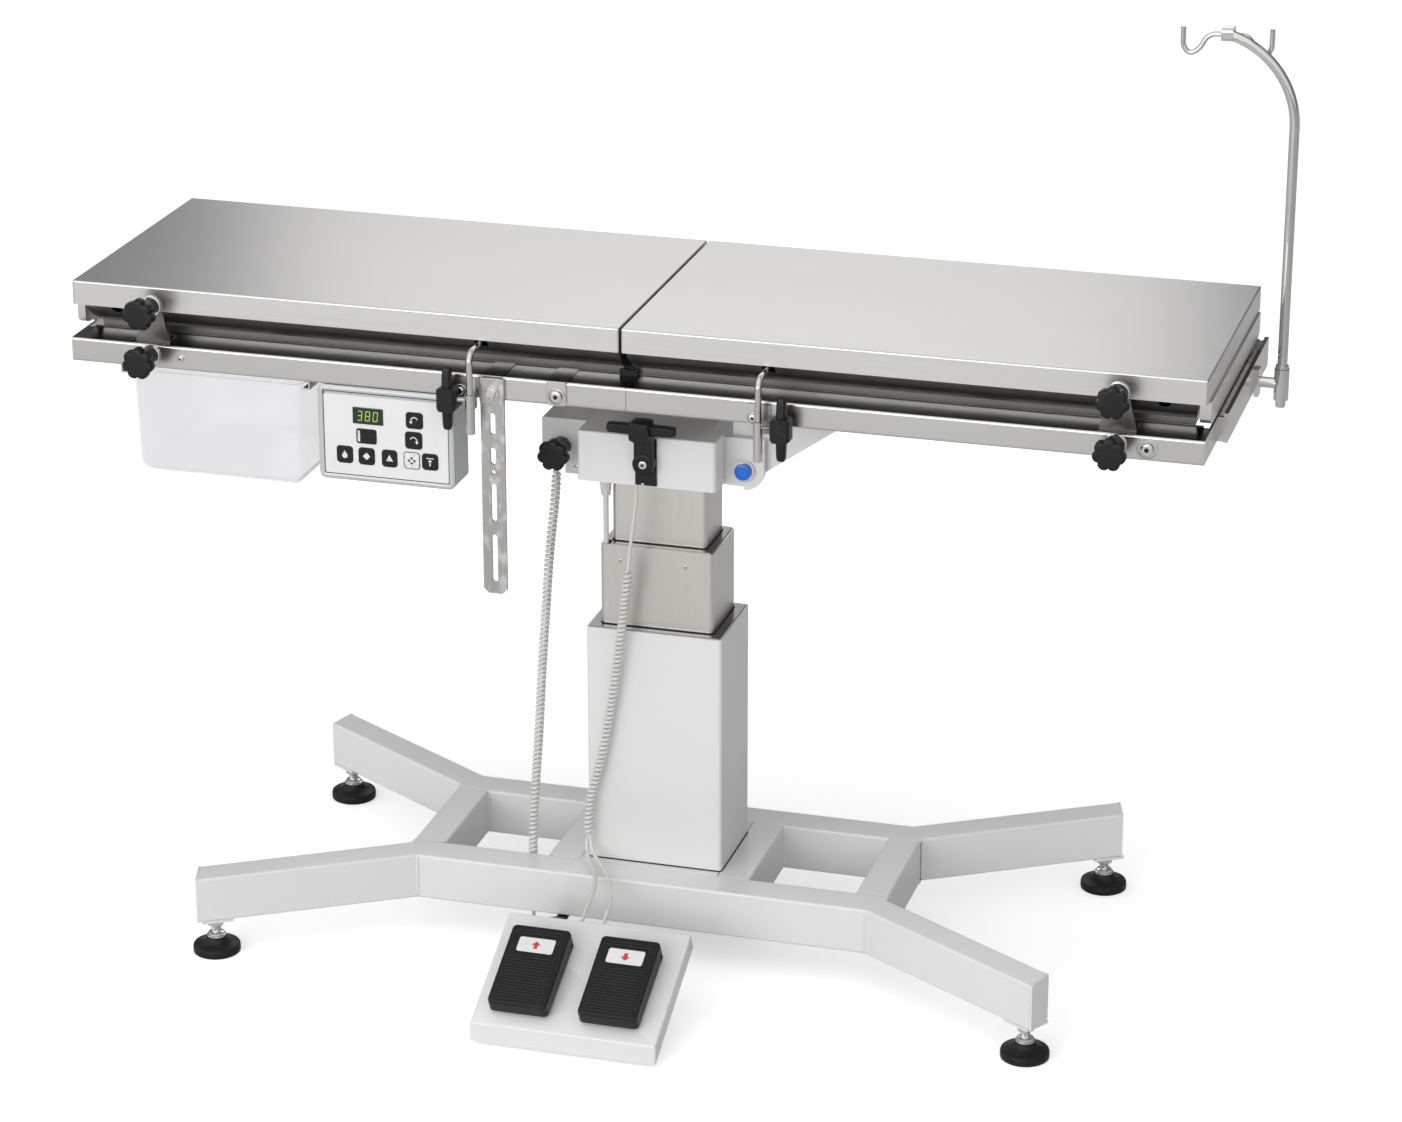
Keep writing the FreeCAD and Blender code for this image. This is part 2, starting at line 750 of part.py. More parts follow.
def tilt_lever():
    """T-shaped lever that swings on the plate."""
    back = head_front_y - lever_plate_thick - rest_gap
    front = back - lever_boss_thick
    boss = bar((lever_x, back, lever_z), (lever_x, front, lever_z), lever_boss_r)
    half = lever_arm_width / 2
    arm = box((lever_x - half, lever_x + half), (front, back), (lever_z, lever_hub_z[0] + lever_hub_sink))
    hub = bar((lever_x, lever_bar_y, lever_hub_z[0]), (lever_x, lever_bar_y, lever_hub_z[1]), lever_hub_r)
    rim = [edge for edge in hub.Edges if abs(edge.BoundBox.ZMin - lever_hub_z[1]) < pick_tol]
    hub = hub.makeFillet(lever_hub_round, rim)
    handle = bar((lever_x - lever_bar_half, lever_bar_y, lever_bar_z),
                 (lever_x + lever_bar_half, lever_bar_y, lever_bar_z), lever_bar_r)
    lever = boss.fuse([arm, hub, handle]).removeSplitter()
    return lever.cut(bar((lever_x, back, lever_z), (lever_x, front, lever_z), stud_r + run_gap))


def cable_glands():
    """Tapered gland of the short cable, and the socket of the left cord under the wing."""
    short = cone((short_cord_x, short_cord_y, head_z[0]), (short_cord_x, short_cord_y, gland_low_z), gland_r)
    short = short.cut(bar((short_cord_x, short_cord_y, gland_low_z),
                          (short_cord_x, short_cord_y, gland_low_z + gland_grip), short_cord_r))
    x, y, top = left_curl[0]
    socket = bar((x, y, top + rest_gap), (x, y, wing_block_z[1]), curl_r + socket_wall)
    return [short, socket.cut(wing_body())]


# Star knobs

def star_knob(x, z, seat_y, tip_y):
    """Star knob on a stud that points to the back."""
    back = seat_y - rest_gap - flange_thick
    front = seat_y - star_reach - star_thick / 2
    mid = front + star_thick
    core = bar((x, front, z), (x, mid, z), star_r - star_lobe_r + star_core_over)
    lobes = []
    for index in range(star_lobes):
        angle = 2 * math.pi * index / star_lobes + math.pi / 2
        cx = x + (star_r - star_lobe_r) * math.cos(angle)
        cz = z + (star_r - star_lobe_r) * math.sin(angle)
        lobes.append(bar((cx, front, cz), (cx, mid, cz), star_lobe_r))
    hub = bar((x, mid, z), (x, back, z), star_hub_r)
    knob = core.fuse(lobes + [hub]).removeSplitter()
    flange = bar((x, back, z), (x, back + flange_thick, z), flange_r)
    stud = bar((x, back, z), (x, tip_y, z), stud_r)
    return [knob, flange.fuse(stud).removeSplitter()]


# Under-frame

def frame_rail(x):
    """Front rail tube of one half; the rear one mirrors it."""
    y = (rail_front_y, rail_inner_y)
    z = (rail_low_z, rail_top_z)
    rail = round_along(box(x, y, z), V(1, 0, 0), rail_round)
    hollow = box(x, (y[0] + tube_wall, y[1] - tube_wall), (z[0] + tube_wall, z[1] - tube_wall))
    return rail.cut(hollow)


def frame_rails():
    """Two front and two rear rails."""
    end = half_length - end_plate
    left = frame_rail((-end, rail_seam_x - rail_seam_gap / 2))
    right = frame_rail((rail_seam_x + rail_seam_gap / 2, end))
    rears = [mirrored(left, V(0, 1, 0)), mirrored(right, V(0, 1, 0))]
    for knob_x in (-section_pivot_x, section_pivot_x):
        hole = bar((knob_x, rail_front_y, lower_knob_z), (knob_x, rail_inner_y, lower_knob_z),
                   stud_r + run_gap)
        left = left.cut(hole)
        right = right.cut(hole)
    return [left, right] + rears


def frame_crossbars():
    """Cross bars between the rails, and the two end plates."""
    z = (rail_low_z, rail_top_z)
    bars = []
    for centre in crossbar_xs:
        x = (centre - crossbar_width / 2, centre + crossbar_width / 2)
        hollow = box((x[0] + tube_wall, x[1] - tube_wall), (rail_inner_y, -rail_inner_y),
                     (z[0] + tube_wall, z[1] - tube_wall))
        bars.append(box(x, (rail_inner_y, -rail_inner_y), z).cut(hollow))
    for side in (-1, 1):
        x = sorted((side * half_length, side * (half_length - end_plate)))
        bars.append(round_along(box(x, (rail_front_y, -rail_front_y), z), V(1, 0, 0), rail_round))
    return bars


def pivot_ear(x):
    """Ear on the rail's top that carries one end of a section."""
    z = (rail_top_z, section_pivot_z)
    half = ear_foot_width / 2
    drop = z[1] - z[0]
    lean = math.asin((half - ear_round) / math.hypot(half, drop)) + math.asin(0)
    side = ear_round * math.cos(lean * 0.5)
    rise = ear_round * math.sin(lean * 0.5)
    outline = ((x - half, z[0]), (x + half, z[0]), (x + side, z[1] + rise), (x - side, z[1] + rise))
    y = (ear_outer_y, ear_inner_y)
    head = bar((x, y[0], z[1]), (x, y[1], z[1]), ear_round)
    foot_block = box((x - half, x + half), (y[0], y[0] + ear_foot_depth), (z[0], z[0] + ear_foot_thick))
    ear = plate_xz(outline, y).fuse([head, foot_block]).removeSplitter()
    return ear.cut(bar((x, y[0], z[1]), (x, y[1], z[1]), stud_r + run_gap))


def tilt_arm(y):
    """Triangular arm that hangs the frame on the tilt shaft."""
    left = pivot_x - arm_boss_r
    run = arm_top_right_x - pivot_x
    rise = rail_low_z - pivot_z
    reach = math.hypot(run, rise)
    tangent = math.atan2(rise, run) - math.acos(arm_boss_r / reach)
    touch = (pivot_x + arm_boss_r * math.cos(tangent), pivot_z + arm_boss_r * math.sin(tangent))
    outline = ((left, pivot_z), touch, (arm_top_right_x, rail_low_z), (arm_top_left_x, rail_low_z),
               (left, rail_low_z - arm_left_drop))
    boss = bar((pivot_x, y[0], pivot_z), (pivot_x, y[1], pivot_z), arm_boss_r)
    arm = plate_xz(outline, y).fuse(boss).removeSplitter()
    return arm.cut(bar((pivot_x, y[0], pivot_z), (pivot_x, y[1], pivot_z), pivot_r + run_gap))


def arc_band(radius, width, angles, y):
    """Curved band about the tilt axis, with round ends."""
    lo, hi = angles
    centre = V(pivot_x, y[0], pivot_z)

    def spot(distance, angle):
        return centre + V(distance * math.cos(angle), 0, distance * math.sin(angle))

    inner = radius - width / 2
    outer = radius + width / 2
    middle = (lo + hi) / 2
    edges = [Part.Arc(spot(outer, lo), spot(outer, middle), spot(outer, hi)).toShape(),
             Part.Arc(spot(outer, hi), spot(radius, hi) + V(math.sin(hi), 0, -math.cos(hi)) * -width / 2,
                      spot(inner, hi)).toShape(),
             Part.Arc(spot(inner, hi), spot(inner, middle), spot(inner, lo)).toShape(),
             Part.Arc(spot(inner, lo), spot(radius, lo) + V(math.sin(lo), 0, -math.cos(lo)) * width / 2,
                      spot(outer, lo)).toShape()]
    return Part.Face(Part.Wire(edges)).extrude(V(0, y[1] - y[0], 0))


def tilt_quadrant():
    """Slotted arc plate that the tilt lock clamps."""
    y0 = head_step_y + wing_block_depth + rest_gap
    y = (y0, y0 + quadrant_thick)
    centre = math.atan2(lock_z - pivot_z, lock_x - pivot_x)
    sweep = math.radians(quadrant_slot_deg)
    slot = arc_band(lock_radius, (stud_r + rest_gap) * 2, (centre - sweep, centre + sweep), y)
    low_z = lock_z - lock_radius * math.sin(sweep) - stud_r - quadrant_end
    plate = box((lock_x - quadrant_half_width, lock_x + quadrant_half_width), y, (low_z, rail_low_z))
    return plate.cut(slot)


def rod_guide(index):
    """Plate, block and short tube that guide one lifting rod."""
    side = (-1, 1)[index]
    x = side * rod_x
    low, high = guide_tube_z
    plate = box(guide_plate_x[index], (rail_front_y - guide_plate_thick, rail_front_y),
                (guide_block_low_z, rail_top_z - guide_plate_drop))
    block = box((x - guide_block_half, x + guide_block_half), (rod_y, rail_front_y - guide_plate_thick),
                (guide_block_low_z, high))
    tube = bar((x, rod_y, low), (x, rod_y, high), guide_tube_r)
    guide = plate.fuse([block, tube]).removeSplitter()
    guide = guide.cut(bar((x, rod_y, low), (x, rod_y, high), rod_r + run_gap))
    screw_hole = bar((x, rod_y, wing_z), (x + side * (guide_tube_r + guide_screw_over), rod_y, wing_z),
                     wing_stud_r + run_gap)
    return guide.cut(screw_hole)


def washer_and_screw(x, z, face_y, washer, head):
    """Pan-head screw on a washer, seen from the front."""
    disc = bar((x, face_y, z), (x, face_y - washer_thick, z), washer)
    cap = bar((x, face_y - washer_thick, z), (x, face_y - washer_thick - screw_head_thick, z), head)
    front = face_y - washer_thick - screw_head_thick
    rim = [edge for edge in cap.Edges if abs(edge.BoundBox.YMax - front) < pick_tol]
    cap = cap.makeFillet(screw_head_round, rim)
    return disc.fuse(cap).removeSplitter()


def rail_fixings():
    """Small bracket plate, screws and washers on the rail, and the rear pivot bolts."""
    half = bracket_width / 2
    mid_z = (rail_low_z + rail_top_z) / 2
    plate_y = rail_front_y - guide_plate_thick
    plate = box((bracket_x - half, bracket_x + half), (plate_y, rail_front_y),
                (rail_low_z - bracket_drop, rail_top_z - guide_plate_drop))
    plate = round_along(plate, V(0, 1, 0), bracket_round)
    strap = box((bracket_x - half, bracket_x + half), (rail_front_y + rail_round, rail_inner_y),
                (rail_top_z, rail_top_z + bracket_strap))
    solids = [plate, strap, washer_and_screw(bracket_x, mid_z, plate_y, washer_r, screw_head_r)]
    solids.append(washer_and_screw(left_screw_inset - half_length, mid_z, rail_front_y, rod_screw_r, small_screw_r))
    solids.append(washer_and_screw(small_screw_inset - half_length, mid_z, rail_front_y, small_screw_r,
                                   tiny_screw_r))
    solids.append(washer_and_screw(half_length - right_screw_inset, mid_z, rail_front_y, wide_washer_r, washer_r))
    for screw_x in guide_screw_x:
        solids.append(washer_and_screw(screw_x, mid_z, plate_y, rod_screw_r, screw_head_r))
    for side in (-1, 1):
        bolt_x = side * section_pivot_x
        head = bar((bolt_x, half_width + rest_gap, section_pivot_z),
                   (bolt_x, half_width + rest_gap + rear_bolt_head[1], section_pivot_z), rear_bolt_head[0])
        shank = bar((bolt_x, -ear_inner_y - rear_bolt_proud, section_pivot_z),
                    (bolt_x, half_width + rest_gap, section_pivot_z), stud_r)
        solids.append(head.fuse(shank).removeSplitter())
    bolt = washer_and_screw(bar_x, bar_bolt_z, rail_front_y - bar_thick - rest_gap * 2, washer_r, screw_head_r)
    neck = bar((bar_x, rail_front_y, bar_bolt_z), (bar_x, rail_front_y - bar_thick - rest_gap * 2, bar_bolt_z), stud_r)
    solids.append(bolt.fuse(neck).removeSplitter())
    return solids


def bin_runner(side):
    """Angle runner that carries one edge of the bin's rim."""
    edge = bin_top_x[1] if side > 0 else bin_top_x[0]
    flange_z = bin_z[1] - bin_rim_thick - rest_gap
    outer = edge + side * (rest_gap + runner_thick + bin_rim)
    inner = edge + side * rest_gap
    y = (rail_front_y + runner_setback, rail_front_y + runner_setback + bin_top_y[1] - bin_top_y[0])
    web = box(sorted((outer, outer - side * runner_thick)), y, (flange_z - runner_thick, rail_low_z))
    lip = box(sorted((outer, inner)), y, (flange_z - runner_thick, flange_z))
    return web.fuse(lip).removeSplitter()


def control_case():
    """Moulded case of the keypad, hung under the front rail."""
    body = round_along(box(case_x, case_y, case_z), V(0, 1, 0), case_round)
    x = (case_x[0] + case_wall, case_x[1] - case_wall)
    z = (case_z[0] + case_wall, case_z[1] - case_wall)
    hollow = box(x, (case_y[0] + case_wall, case_y[1]), z)
    back = box(x, (case_y[1] - case_wall, case_y[1]), z)
    hangers = []
    for start in (case_x[0] + hanger_inset, case_x[1] - hanger_inset - hanger_width):
        hangers.append(box((start, start + hanger_width), (case_y[1] - hanger_depth, case_y[1]),
                           (case_z[1], rail_low_z)))
    return [body.cut(hollow), back] + hangers


def control_panel():
    """Keypad overlay on the case's front."""
    y = (case_y[0] - panel_thick, case_y[0])
    panel = box((case_x[0] + panel_margin, case_x[1] - panel_margin), y,
                (case_z[0] + panel_margin, case_z[1] - panel_margin))
    return round_along(panel, V(0, 1, 0), panel_round)


def accessory_rail():
    """Flat bar with returned ends, welded to the right end plate."""
    inner = half_length + acc_stand_off
    face = box((inner, inner + acc_thick), acc_y, acc_z)
    z = (rail_low_z, rail_top_z)
    front = box((half_length, inner), (acc_y[0], acc_y[0] + acc_thick), z)
    back = box((half_length, inner), (acc_y[1] - acc_thick, acc_y[1]), z)
    return face.fuse([front, back]).removeSplitter()


def pole_socket():
    """Clamp plate, arm and upright socket for the pole."""
    face = half_length + acc_stand_off + acc_thick
    thick, wide, tall = socket_flange
    flange = box((face, face + thick), (pole_y - wide / 2, pole_y + wide / 2),
                 (socket_arm_z - tall / 2, socket_arm_z + tall / 2))
    arm = bar((face + thick, pole_y, socket_arm_z), (pole_x, pole_y, socket_arm_z), socket_arm_r)
    barrel = bar((pole_x, pole_y, socket_z[0]), (pole_x, pole_y, socket_z[1]), socket_r)
    socket = flange.fuse([arm, barrel]).removeSplitter()
    return socket.cut(bar((pole_x, pole_y, socket_z[0]), (pole_x, pole_y, socket_z[1]), pole_r + run_gap))


def infusion_pole():
    """Pole with its bent top, and the double hook welded to its collar."""
    turn = math.radians(pole_bend_deg)
    centre_x = pole_x - pole_bend_r
    low = V(pole_x, pole_y, pole_low_z)
    bend = V(pole_x, pole_y, pole_bend_z)

    def on_bend(angle):
        return V(centre_x + pole_bend_r * math.cos(angle), pole_y, pole_bend_z + pole_bend_r * math.sin(angle))

    end = on_bend(turn)
    path = Part.Wire([Part.LineSegment(low, bend).toShape(),
                      Part.Arc(bend, on_bend(turn / 2), end).toShape()])
    pole = path.makePipeShell([Part.Wire(Part.makeCircle(pole_r, low, V(0, 0, 1)))], True, False)
    stop_z = socket_z[1] + rest_gap
    stop = bar((pole_x, pole_y, stop_z), (pole_x, pole_y, stop_z + stop_ring[1]), stop_ring[0])
    wire_y = pole_y + pole_r + hook_r
    points = [(end.x + x, wire_y, end.z + z) for x, z in hook_wire]
    long, wide, tall = hook_collar
    collar = box((end.x - long / 2, end.x + long / 2), (pole_y - wide, wire_y + hook_r + hook_collar_over),
                 (end.z - tall, end.z + tall))
    collar = round_along(collar, V(1, 0, 0), hook_collar_round)
    pole = pole.fuse([collar, stop])
    return [pole.fuse(cord_tube("hook", points, hook_r)).removeSplitter()]


# Top sections

def leaf(side):
    """Stainless leaf of one section, a tray turned upside down."""
    x = sorted((side * split_gap / 2, side * half_length))
    y = (-half_width, half_width)
    body = round_along(box(x, y, (skirt_z, top_z)), V(0, 0, 1), leaf_round)
    rim = [edge for edge in body.Edges if abs(edge.BoundBox.ZMin - top_z) < pick_tol]
    body = body.makeFillet(leaf_top_round, rim)
    hollow = box((x[0] + sheet, x[1] - sheet), (y[0] + sheet, y[1] - sheet), (skirt_z, top_z - sheet))
    pivot = bar((side * section_pivot_x, -half_width, section_pivot_z),
                (side * section_pivot_x, half_width, section_pivot_z), stud_r + run_gap)
    return body.cut(hollow).cut(pivot)


def pan_shape(inset):
    """Outer form of the right pan, or its hollow when inset."""
    top = pan_top_half - inset
    low = pan_bottom_half - inset
    z0 = pan_low_z + inset
    lip = pan_low_z + pan_lip_height
    z1 = skirt_z
    z2 = top_z - sheet
    x0 = pan_inner_top
    x1 = half_length - pan_end_top
    lip_half = low + pan_lip_lean

    def wall(sign):
        bulge = V(0, sign * ((top + lip_half) / 2 + pan_bulge), (lip + z1) / 2 - pan_bulge)
        return [Part.Arc(V(0, sign * top, z1), bulge, V(0, sign * lip_half, lip)).toShape(),
                Part.LineSegment(V(0, sign * lip_half, lip), V(0, sign * low, z0)).toShape()]

    edges = [Part.LineSegment(V(0, -top, z2), V(0, -top, z1)).toShape(),
             Part.LineSegment(V(0, -low, z0), V(0, low, z0)).toShape(),
             Part.LineSegment(V(0, top, z1), V(0, top, z2)).toShape(),
             Part.LineSegment(V(0, top, z2), V(0, -top, z2)).toShape()] + wall(-1) + wall(1)
    profile = Part.Face(Part.Wire(Part.__sortEdges__(edges)))
    body = profile.extrude(V(half_length, 0, 0))
    ends = plate_xz(((x0 + inset, z2), (x0 + inset, z1), (pan_inner_bottom + inset, z0),
                     (half_length - pan_end_bottom - inset, z0), (x1 - inset, z1), (x1 - inset, z2)),
                    (-half_width, half_width))
    return body.common(ends)


def pan(side):
    """Under-pan of one section with its heating mat."""
    shell = pan_shape(0).cut(pan_shape(sheet))
    slot = box((rod_x - rod_slot_width / 2, rod_x + rod_slot_width / 2), (-half_width, -pan_bottom_half),
               (rod_leg_z - rod_slot_height / 2, rod_leg_z + rod_slot_height / 2))
    hole_x = half_length - pan_hole_inset
    hole_z = skirt_z - pan_hole_drop
    hole = bar((hole_x, -half_width, hole_z), (hole_x, -pan_bottom_half, hole_z), pan_hole_r)
    shell = shell.cut(slot).cut(hole)
    if side < 0:
        shell = mirrored(shell, V(1, 0, 0))
    return shell


def heating_mat(side):
    """Heating mat under one leaf."""
    x = sorted((side * (pan_inner_top + heater_margin), side * (half_length - pan_end_top - heater_margin)))
    y = (-pan_top_half + heater_margin, pan_top_half - heater_margin)
    return box(x, y, (top_z - sheet - heater_thick, top_z - sheet))


def lifting_rod(side):
    """Bent rod that props up the inner end of one section."""
    x = side * rod_x
    low = V(x, rod_y, rod_low_z)
    bend_low = V(x, rod_y, rod_leg_z - rod_bend)
    bend_mid = V(x, rod_y + rod_bend * (1 - math.cos(math.pi / 4)),
                 rod_leg_z - rod_bend + rod_bend * math.sin(math.pi / 4))
    bend_high = V(x, rod_y + rod_bend, rod_leg_z)
    end = V(x, rod_leg_end_y, rod_leg_z)
    path = Part.Wire([Part.LineSegment(low, bend_low).toShape(),
                      Part.Arc(bend_low, bend_mid, bend_high).toShape(),
                      Part.LineSegment(bend_high, end).toShape()])
    return path.makePipeShell([Part.Wire(Part.makeCircle(rod_r, low, V(0, 0, 1)))], True, False)


def wing_screw(side):
    """Wing-shaped handle and its stud."""
    x = side * rod_x
    tip = x + side * (rod_r + rest_gap)
    start = x + side * (guide_tube_r + wing_gap)
    end = start + side * wing_boss_length
    boss = bar((start, rod_y, wing_z), (end, rod_y, wing_z), wing_boss_r)
    blade_x = sorted((start + side * wing_blade_start, start + side * (wing_blade_start + wing_thick)))
    blade = box(blade_x, (rod_y - wing_width / 2, rod_y + wing_width / 2),
                (wing_z - wing_span / 2, wing_z + wing_span / 2))
    blade = round_along(blade, V(0, 1, 0), wing_round)
    stud = bar((tip, rod_y, wing_z), (start, rod_y, wing_z), wing_stud_r)
    return [boss.fuse(blade).removeSplitter(), stud]


def slotted_bar():
    """Flat bar with a row of slots, hung from a bolt on the rail."""
    half = bar_width / 2
    y = (rail_front_y - bar_thick - rest_gap, rail_front_y - rest_gap)
    top = bar_bolt_z + bar_top_above_bolt
    outline = ((bar_x - half, top), (bar_x + half, top), (bar_x + half, bar_bottom_z + bar_chamfer),
               (bar_x + half - bar_chamfer, bar_bottom_z), (bar_x - half + bar_chamfer, bar_bottom_z),
               (bar_x - half, bar_bottom_z + bar_chamfer))
    plate = plate_xz(outline, y)
    slot_half = bar_slot_width / 2
    cuts = [bar((bar_x, y[0], bar_bolt_z), (bar_x, y[1], bar_bolt_z), stud_r + run_gap),
            bar((bar_x, y[0], bar_hole_z), (bar_x, y[1], bar_hole_z), bar_hole_r)]
    for low, high in bar_slots:
        cuts.append(box((bar_x - slot_half, bar_x + slot_half), y, (low + slot_half, high - slot_half)))
        cuts.append(bar((bar_x, y[0], low + slot_half), (bar_x, y[1], low + slot_half), slot_half))
        cuts.append(bar((bar_x, y[0], high - slot_half), (bar_x, y[1], high - slot_half), slot_half))
    return plate.cut(cuts)


def bin_block(inset):
    """Tapered form of the bin, or its hollow when inset."""
    low = bin_z[0] + inset
    high = bin_z[1]

    def outline(x, y, z, radius):
        x0, x1 = x[0] + inset, x[1] - inset
        y0, y1 = y[0] + inset, y[1] - inset
        face = box((x0, x1), (y0, y1), (z, z + bin_wall))
        rounded = round_along(face, V(0, 0, 1), radius)
        bottom = [item for item in rounded.Faces if abs(item.BoundBox.ZMax - z) < pick_tol][0]
        return bottom.OuterWire

    return Part.makeLoft([outline(bin_bottom_x, bin_bottom_y, low, bin_round - inset),
                          outline(bin_top_x, bin_top_y, high, bin_round - inset)], True, True)


def storage_bin():
    """Clear bin with a rim that hangs on the runners."""
    shell = bin_block(0)
    rim = box((bin_top_x[0] - bin_rim, bin_top_x[1] + bin_rim), (bin_top_y[0], bin_top_y[1]),
              (bin_z[1] - bin_rim_thick, bin_z[1]))
    return shell.fuse(rim).cut(bin_block(bin_wall)).removeSplitter()


# Pedal unit

def on_slope(s, n):
    """Point of the pedal unit's slope, s up the slope and n out of it."""
    y = unit_front[0] + s * math.cos(slope) - n * math.sin(slope)
    z = unit_front[1] + s * math.sin(slope) + n * math.cos(slope)
    return y, z


def slope_block(x, s, n):
    """Block that lies square to the slope."""
    corners = (on_slope(s[0], n[0]), on_slope(s[1], n[0]), on_slope(s[1], n[1]), on_slope(s[0], n[1]))
    return plate_yz(corners, x)


def pedal_base():
    """Folded platform, its junction box and its two front feet."""
    outside = slope_block(unit_x, (0, unit_length), (-unit_skirt, 0))
    inside = slope_block((unit_x[0] + sheet, unit_x[1] - sheet), (sheet, unit_length - sheet),
                         (-unit_skirt, -sheet))
    tray = outside.cut(inside)
    for cord_x in (right_tail[-1][0], branch_tail[-1][0]):
        lo = on_slope(unit_length - grommet_cut, -grommet_drop)
        hi = on_slope(unit_length + grommet_cut, -grommet_drop)
        tray = tray.cut(bar((cord_x, lo[0], lo[1]), (cord_x, hi[0], hi[1]), grommet_r))
    junction = slope_block(junction_x, junction_s, (-sheet - junction_depth, -sheet))
    feet = []
    for foot_at in (unit_x[0] + unit_foot_inset, unit_x[1] - unit_foot_inset):
        y, z = on_slope(unit_foot_inset, -sheet)
        post = bar((foot_at, y, 0), (foot_at, y, z + unit_foot_over), unit_foot_r)
        above = slope_block(unit_x, unit_foot_trim, (-sheet, unit_foot_trim[1]))
        feet.append(post.cut(above))
    return [tray, junction] + feet


def pedal_arm():
    """Flat black arm from the base's front beam to the platform's back."""
    x = (arm_bar_x - arm_bar_width / 2, arm_bar_x + arm_bar_width / 2)
    back_y, back_z = on_slope(unit_length, -unit_skirt / 2)
    low_y, low_z = on_slope(unit_length, -unit_skirt)
    lap_y = arm_bar_lap - beam_outer_y
    under_z = beam_z[0] - arm_bar_thick
    outline = ((lap_y, beam_z[0]), (lap_y, under_z), (-beam_outer_y - arm_bar_bend[0], under_z),
               (low_y, low_z), (back_y, back_z), (-beam_outer_y - arm_bar_bend[1], beam_z[0]))
    return plate_yz(outline, x)


def pedal_switches():
    """Switch block, with its pin, under each pedal."""
    solids = []
    pin_s = pedal_start + pedal_length - pedal_pin_inset
    for centre in pedal_xs:
        half = switch_width / 2
        front_s = pin_s - switch_length
        block = slope_block((centre - half, centre + half), (front_s, pin_s + switch_behind_pin), (0, switch_height))
        pin_y, pin_z = on_slope(pin_s, pedal_pin_height)
        reach = pedal_width / 2
        pin = bar((centre - reach, pin_y, pin_z), (centre + reach, pin_y, pin_z), pedal_pin_r)
        recess_half = half - switch_recess_x
        recess = slope_block((centre - recess_half, centre + recess_half),
                             (front_s + switch_recess_s[0], pin_s - switch_recess_s[1]),
                             (switch_height - switch_recess_depth, switch_height))
        solids.append(block.cut(recess).fuse(pin).removeSplitter())
    return solids


def pedal(centre):
    """Ribbed pedal shell that rocks on its pin."""
    half = pedal_width / 2
    s0 = pedal_start
    s1 = pedal_start + pedal_length
    x = (centre - half, centre + half)
    wedge = ((s0, pedal_lift_front), (s1, pedal_lift_back), (s1, pedal_height), (s0, pedal_height))
    corners = [on_slope(s, n) for s, n in wedge]
    outside = plate_yz(corners, x)
    inside = slope_block((x[0] + pedal_wall, x[1] - pedal_wall), (s0 + pedal_wall, s1 - pedal_wall),
                         (pedal_open, pedal_height - pedal_wall))
    pin_s = s1 - pedal_pin_inset
    pin_y, pin_z = on_slope(pin_s, pedal_pin_height)
    hole = bar((x[0], pin_y, pin_z), (x[1], pin_y, pin_z), pedal_pin_r + run_gap)
    return outside.cut(inside).cut(hole)


# Cords

def cords():
    """Hanging cords, each a fat tube where it is curly and a thin one where it is straight."""
    save("cord_left", [cord_tube("cord_left", left_curl, curl_r)])
    knot = bar(right_lead[-1], right_curl[0], knot_r)
    save("cord_right", [cord_tube("cord_right lead", right_lead, cord_r), knot,
                        cord_tube("cord_right curl", right_curl, curl_r)])
    save("cord_tails", [cord_tube("left tail", left_tail, cord_r), cord_tube("right tail", right_tail, cord_r),
                        cord_tube("branch tail", branch_tail, cord_r)])
    short = bar((short_cord_x, short_cord_y, gland_low_z + gland_grip - rest_gap),
                (short_cord_x, short_cord_y, short_cord_low_z), short_cord_r - run_gap)
    save("cord_short", [short])


def both_sides(shape):
    """A front right piece and its mirror image on the front left."""
    return [shape, mirrored(shape, V(1, 0, 0))]


def four_corners(shape):
    """A front right piece and its three mirror images."""
    front = both_sides(shape)
    return front + [mirrored(item, V(0, 1, 0)) for item in front]


def build_base():
    """Base frame, feet and column."""
    front_beam = side_beam()
    save("side_beam", [front_beam, mirrored(front_beam, V(0, 1, 0))])
    save("cross_beam", both_sides(cross_beam((cross_inner_x, corner_x))) + both_sides(cross_beam(centre_beam_x)))
    save("base_leg", four_corners(base_leg()))
    save("leg_end_plate", four_corners(leg_cap()) + four_corners(foot_plate()))
    save("column_plate", column_plates())
    for name, x, y in (("foot_front_left", -foot_x, -foot_y), ("foot_front_right", foot_x, -foot_y),
                       ("foot_rear_left", -foot_x, foot_y), ("foot_rear_right", foot_x, foot_y)):
        save(name, foot(x, y))
    centre = (column_x, column_y)
    save("outer_sleeve", [upright_tube(centre, outer_size, outer_z, outer_wall, sleeve_round)])
    save("outer_glide", [glide((outer_size[0], outer_wall, outer_size[1]), middle_size, outer_z[1], False)])
    save("middle_sleeve", [upright_tube(centre, middle_size, middle_z, tube_wall, sleeve_round)])
    save("middle_glide", [glide((middle_size[0], tube_wall, middle_size[1]), inner_size, middle_z[1], True)])
    save("inner_sleeve", [upright_tube(centre, inner_size, (inner_low_z, head_z[0]), tube_wall, sleeve_round)])
    save("lift_actuator", lift_actuator())
    save("actuator_rod", [actuator_rod()])


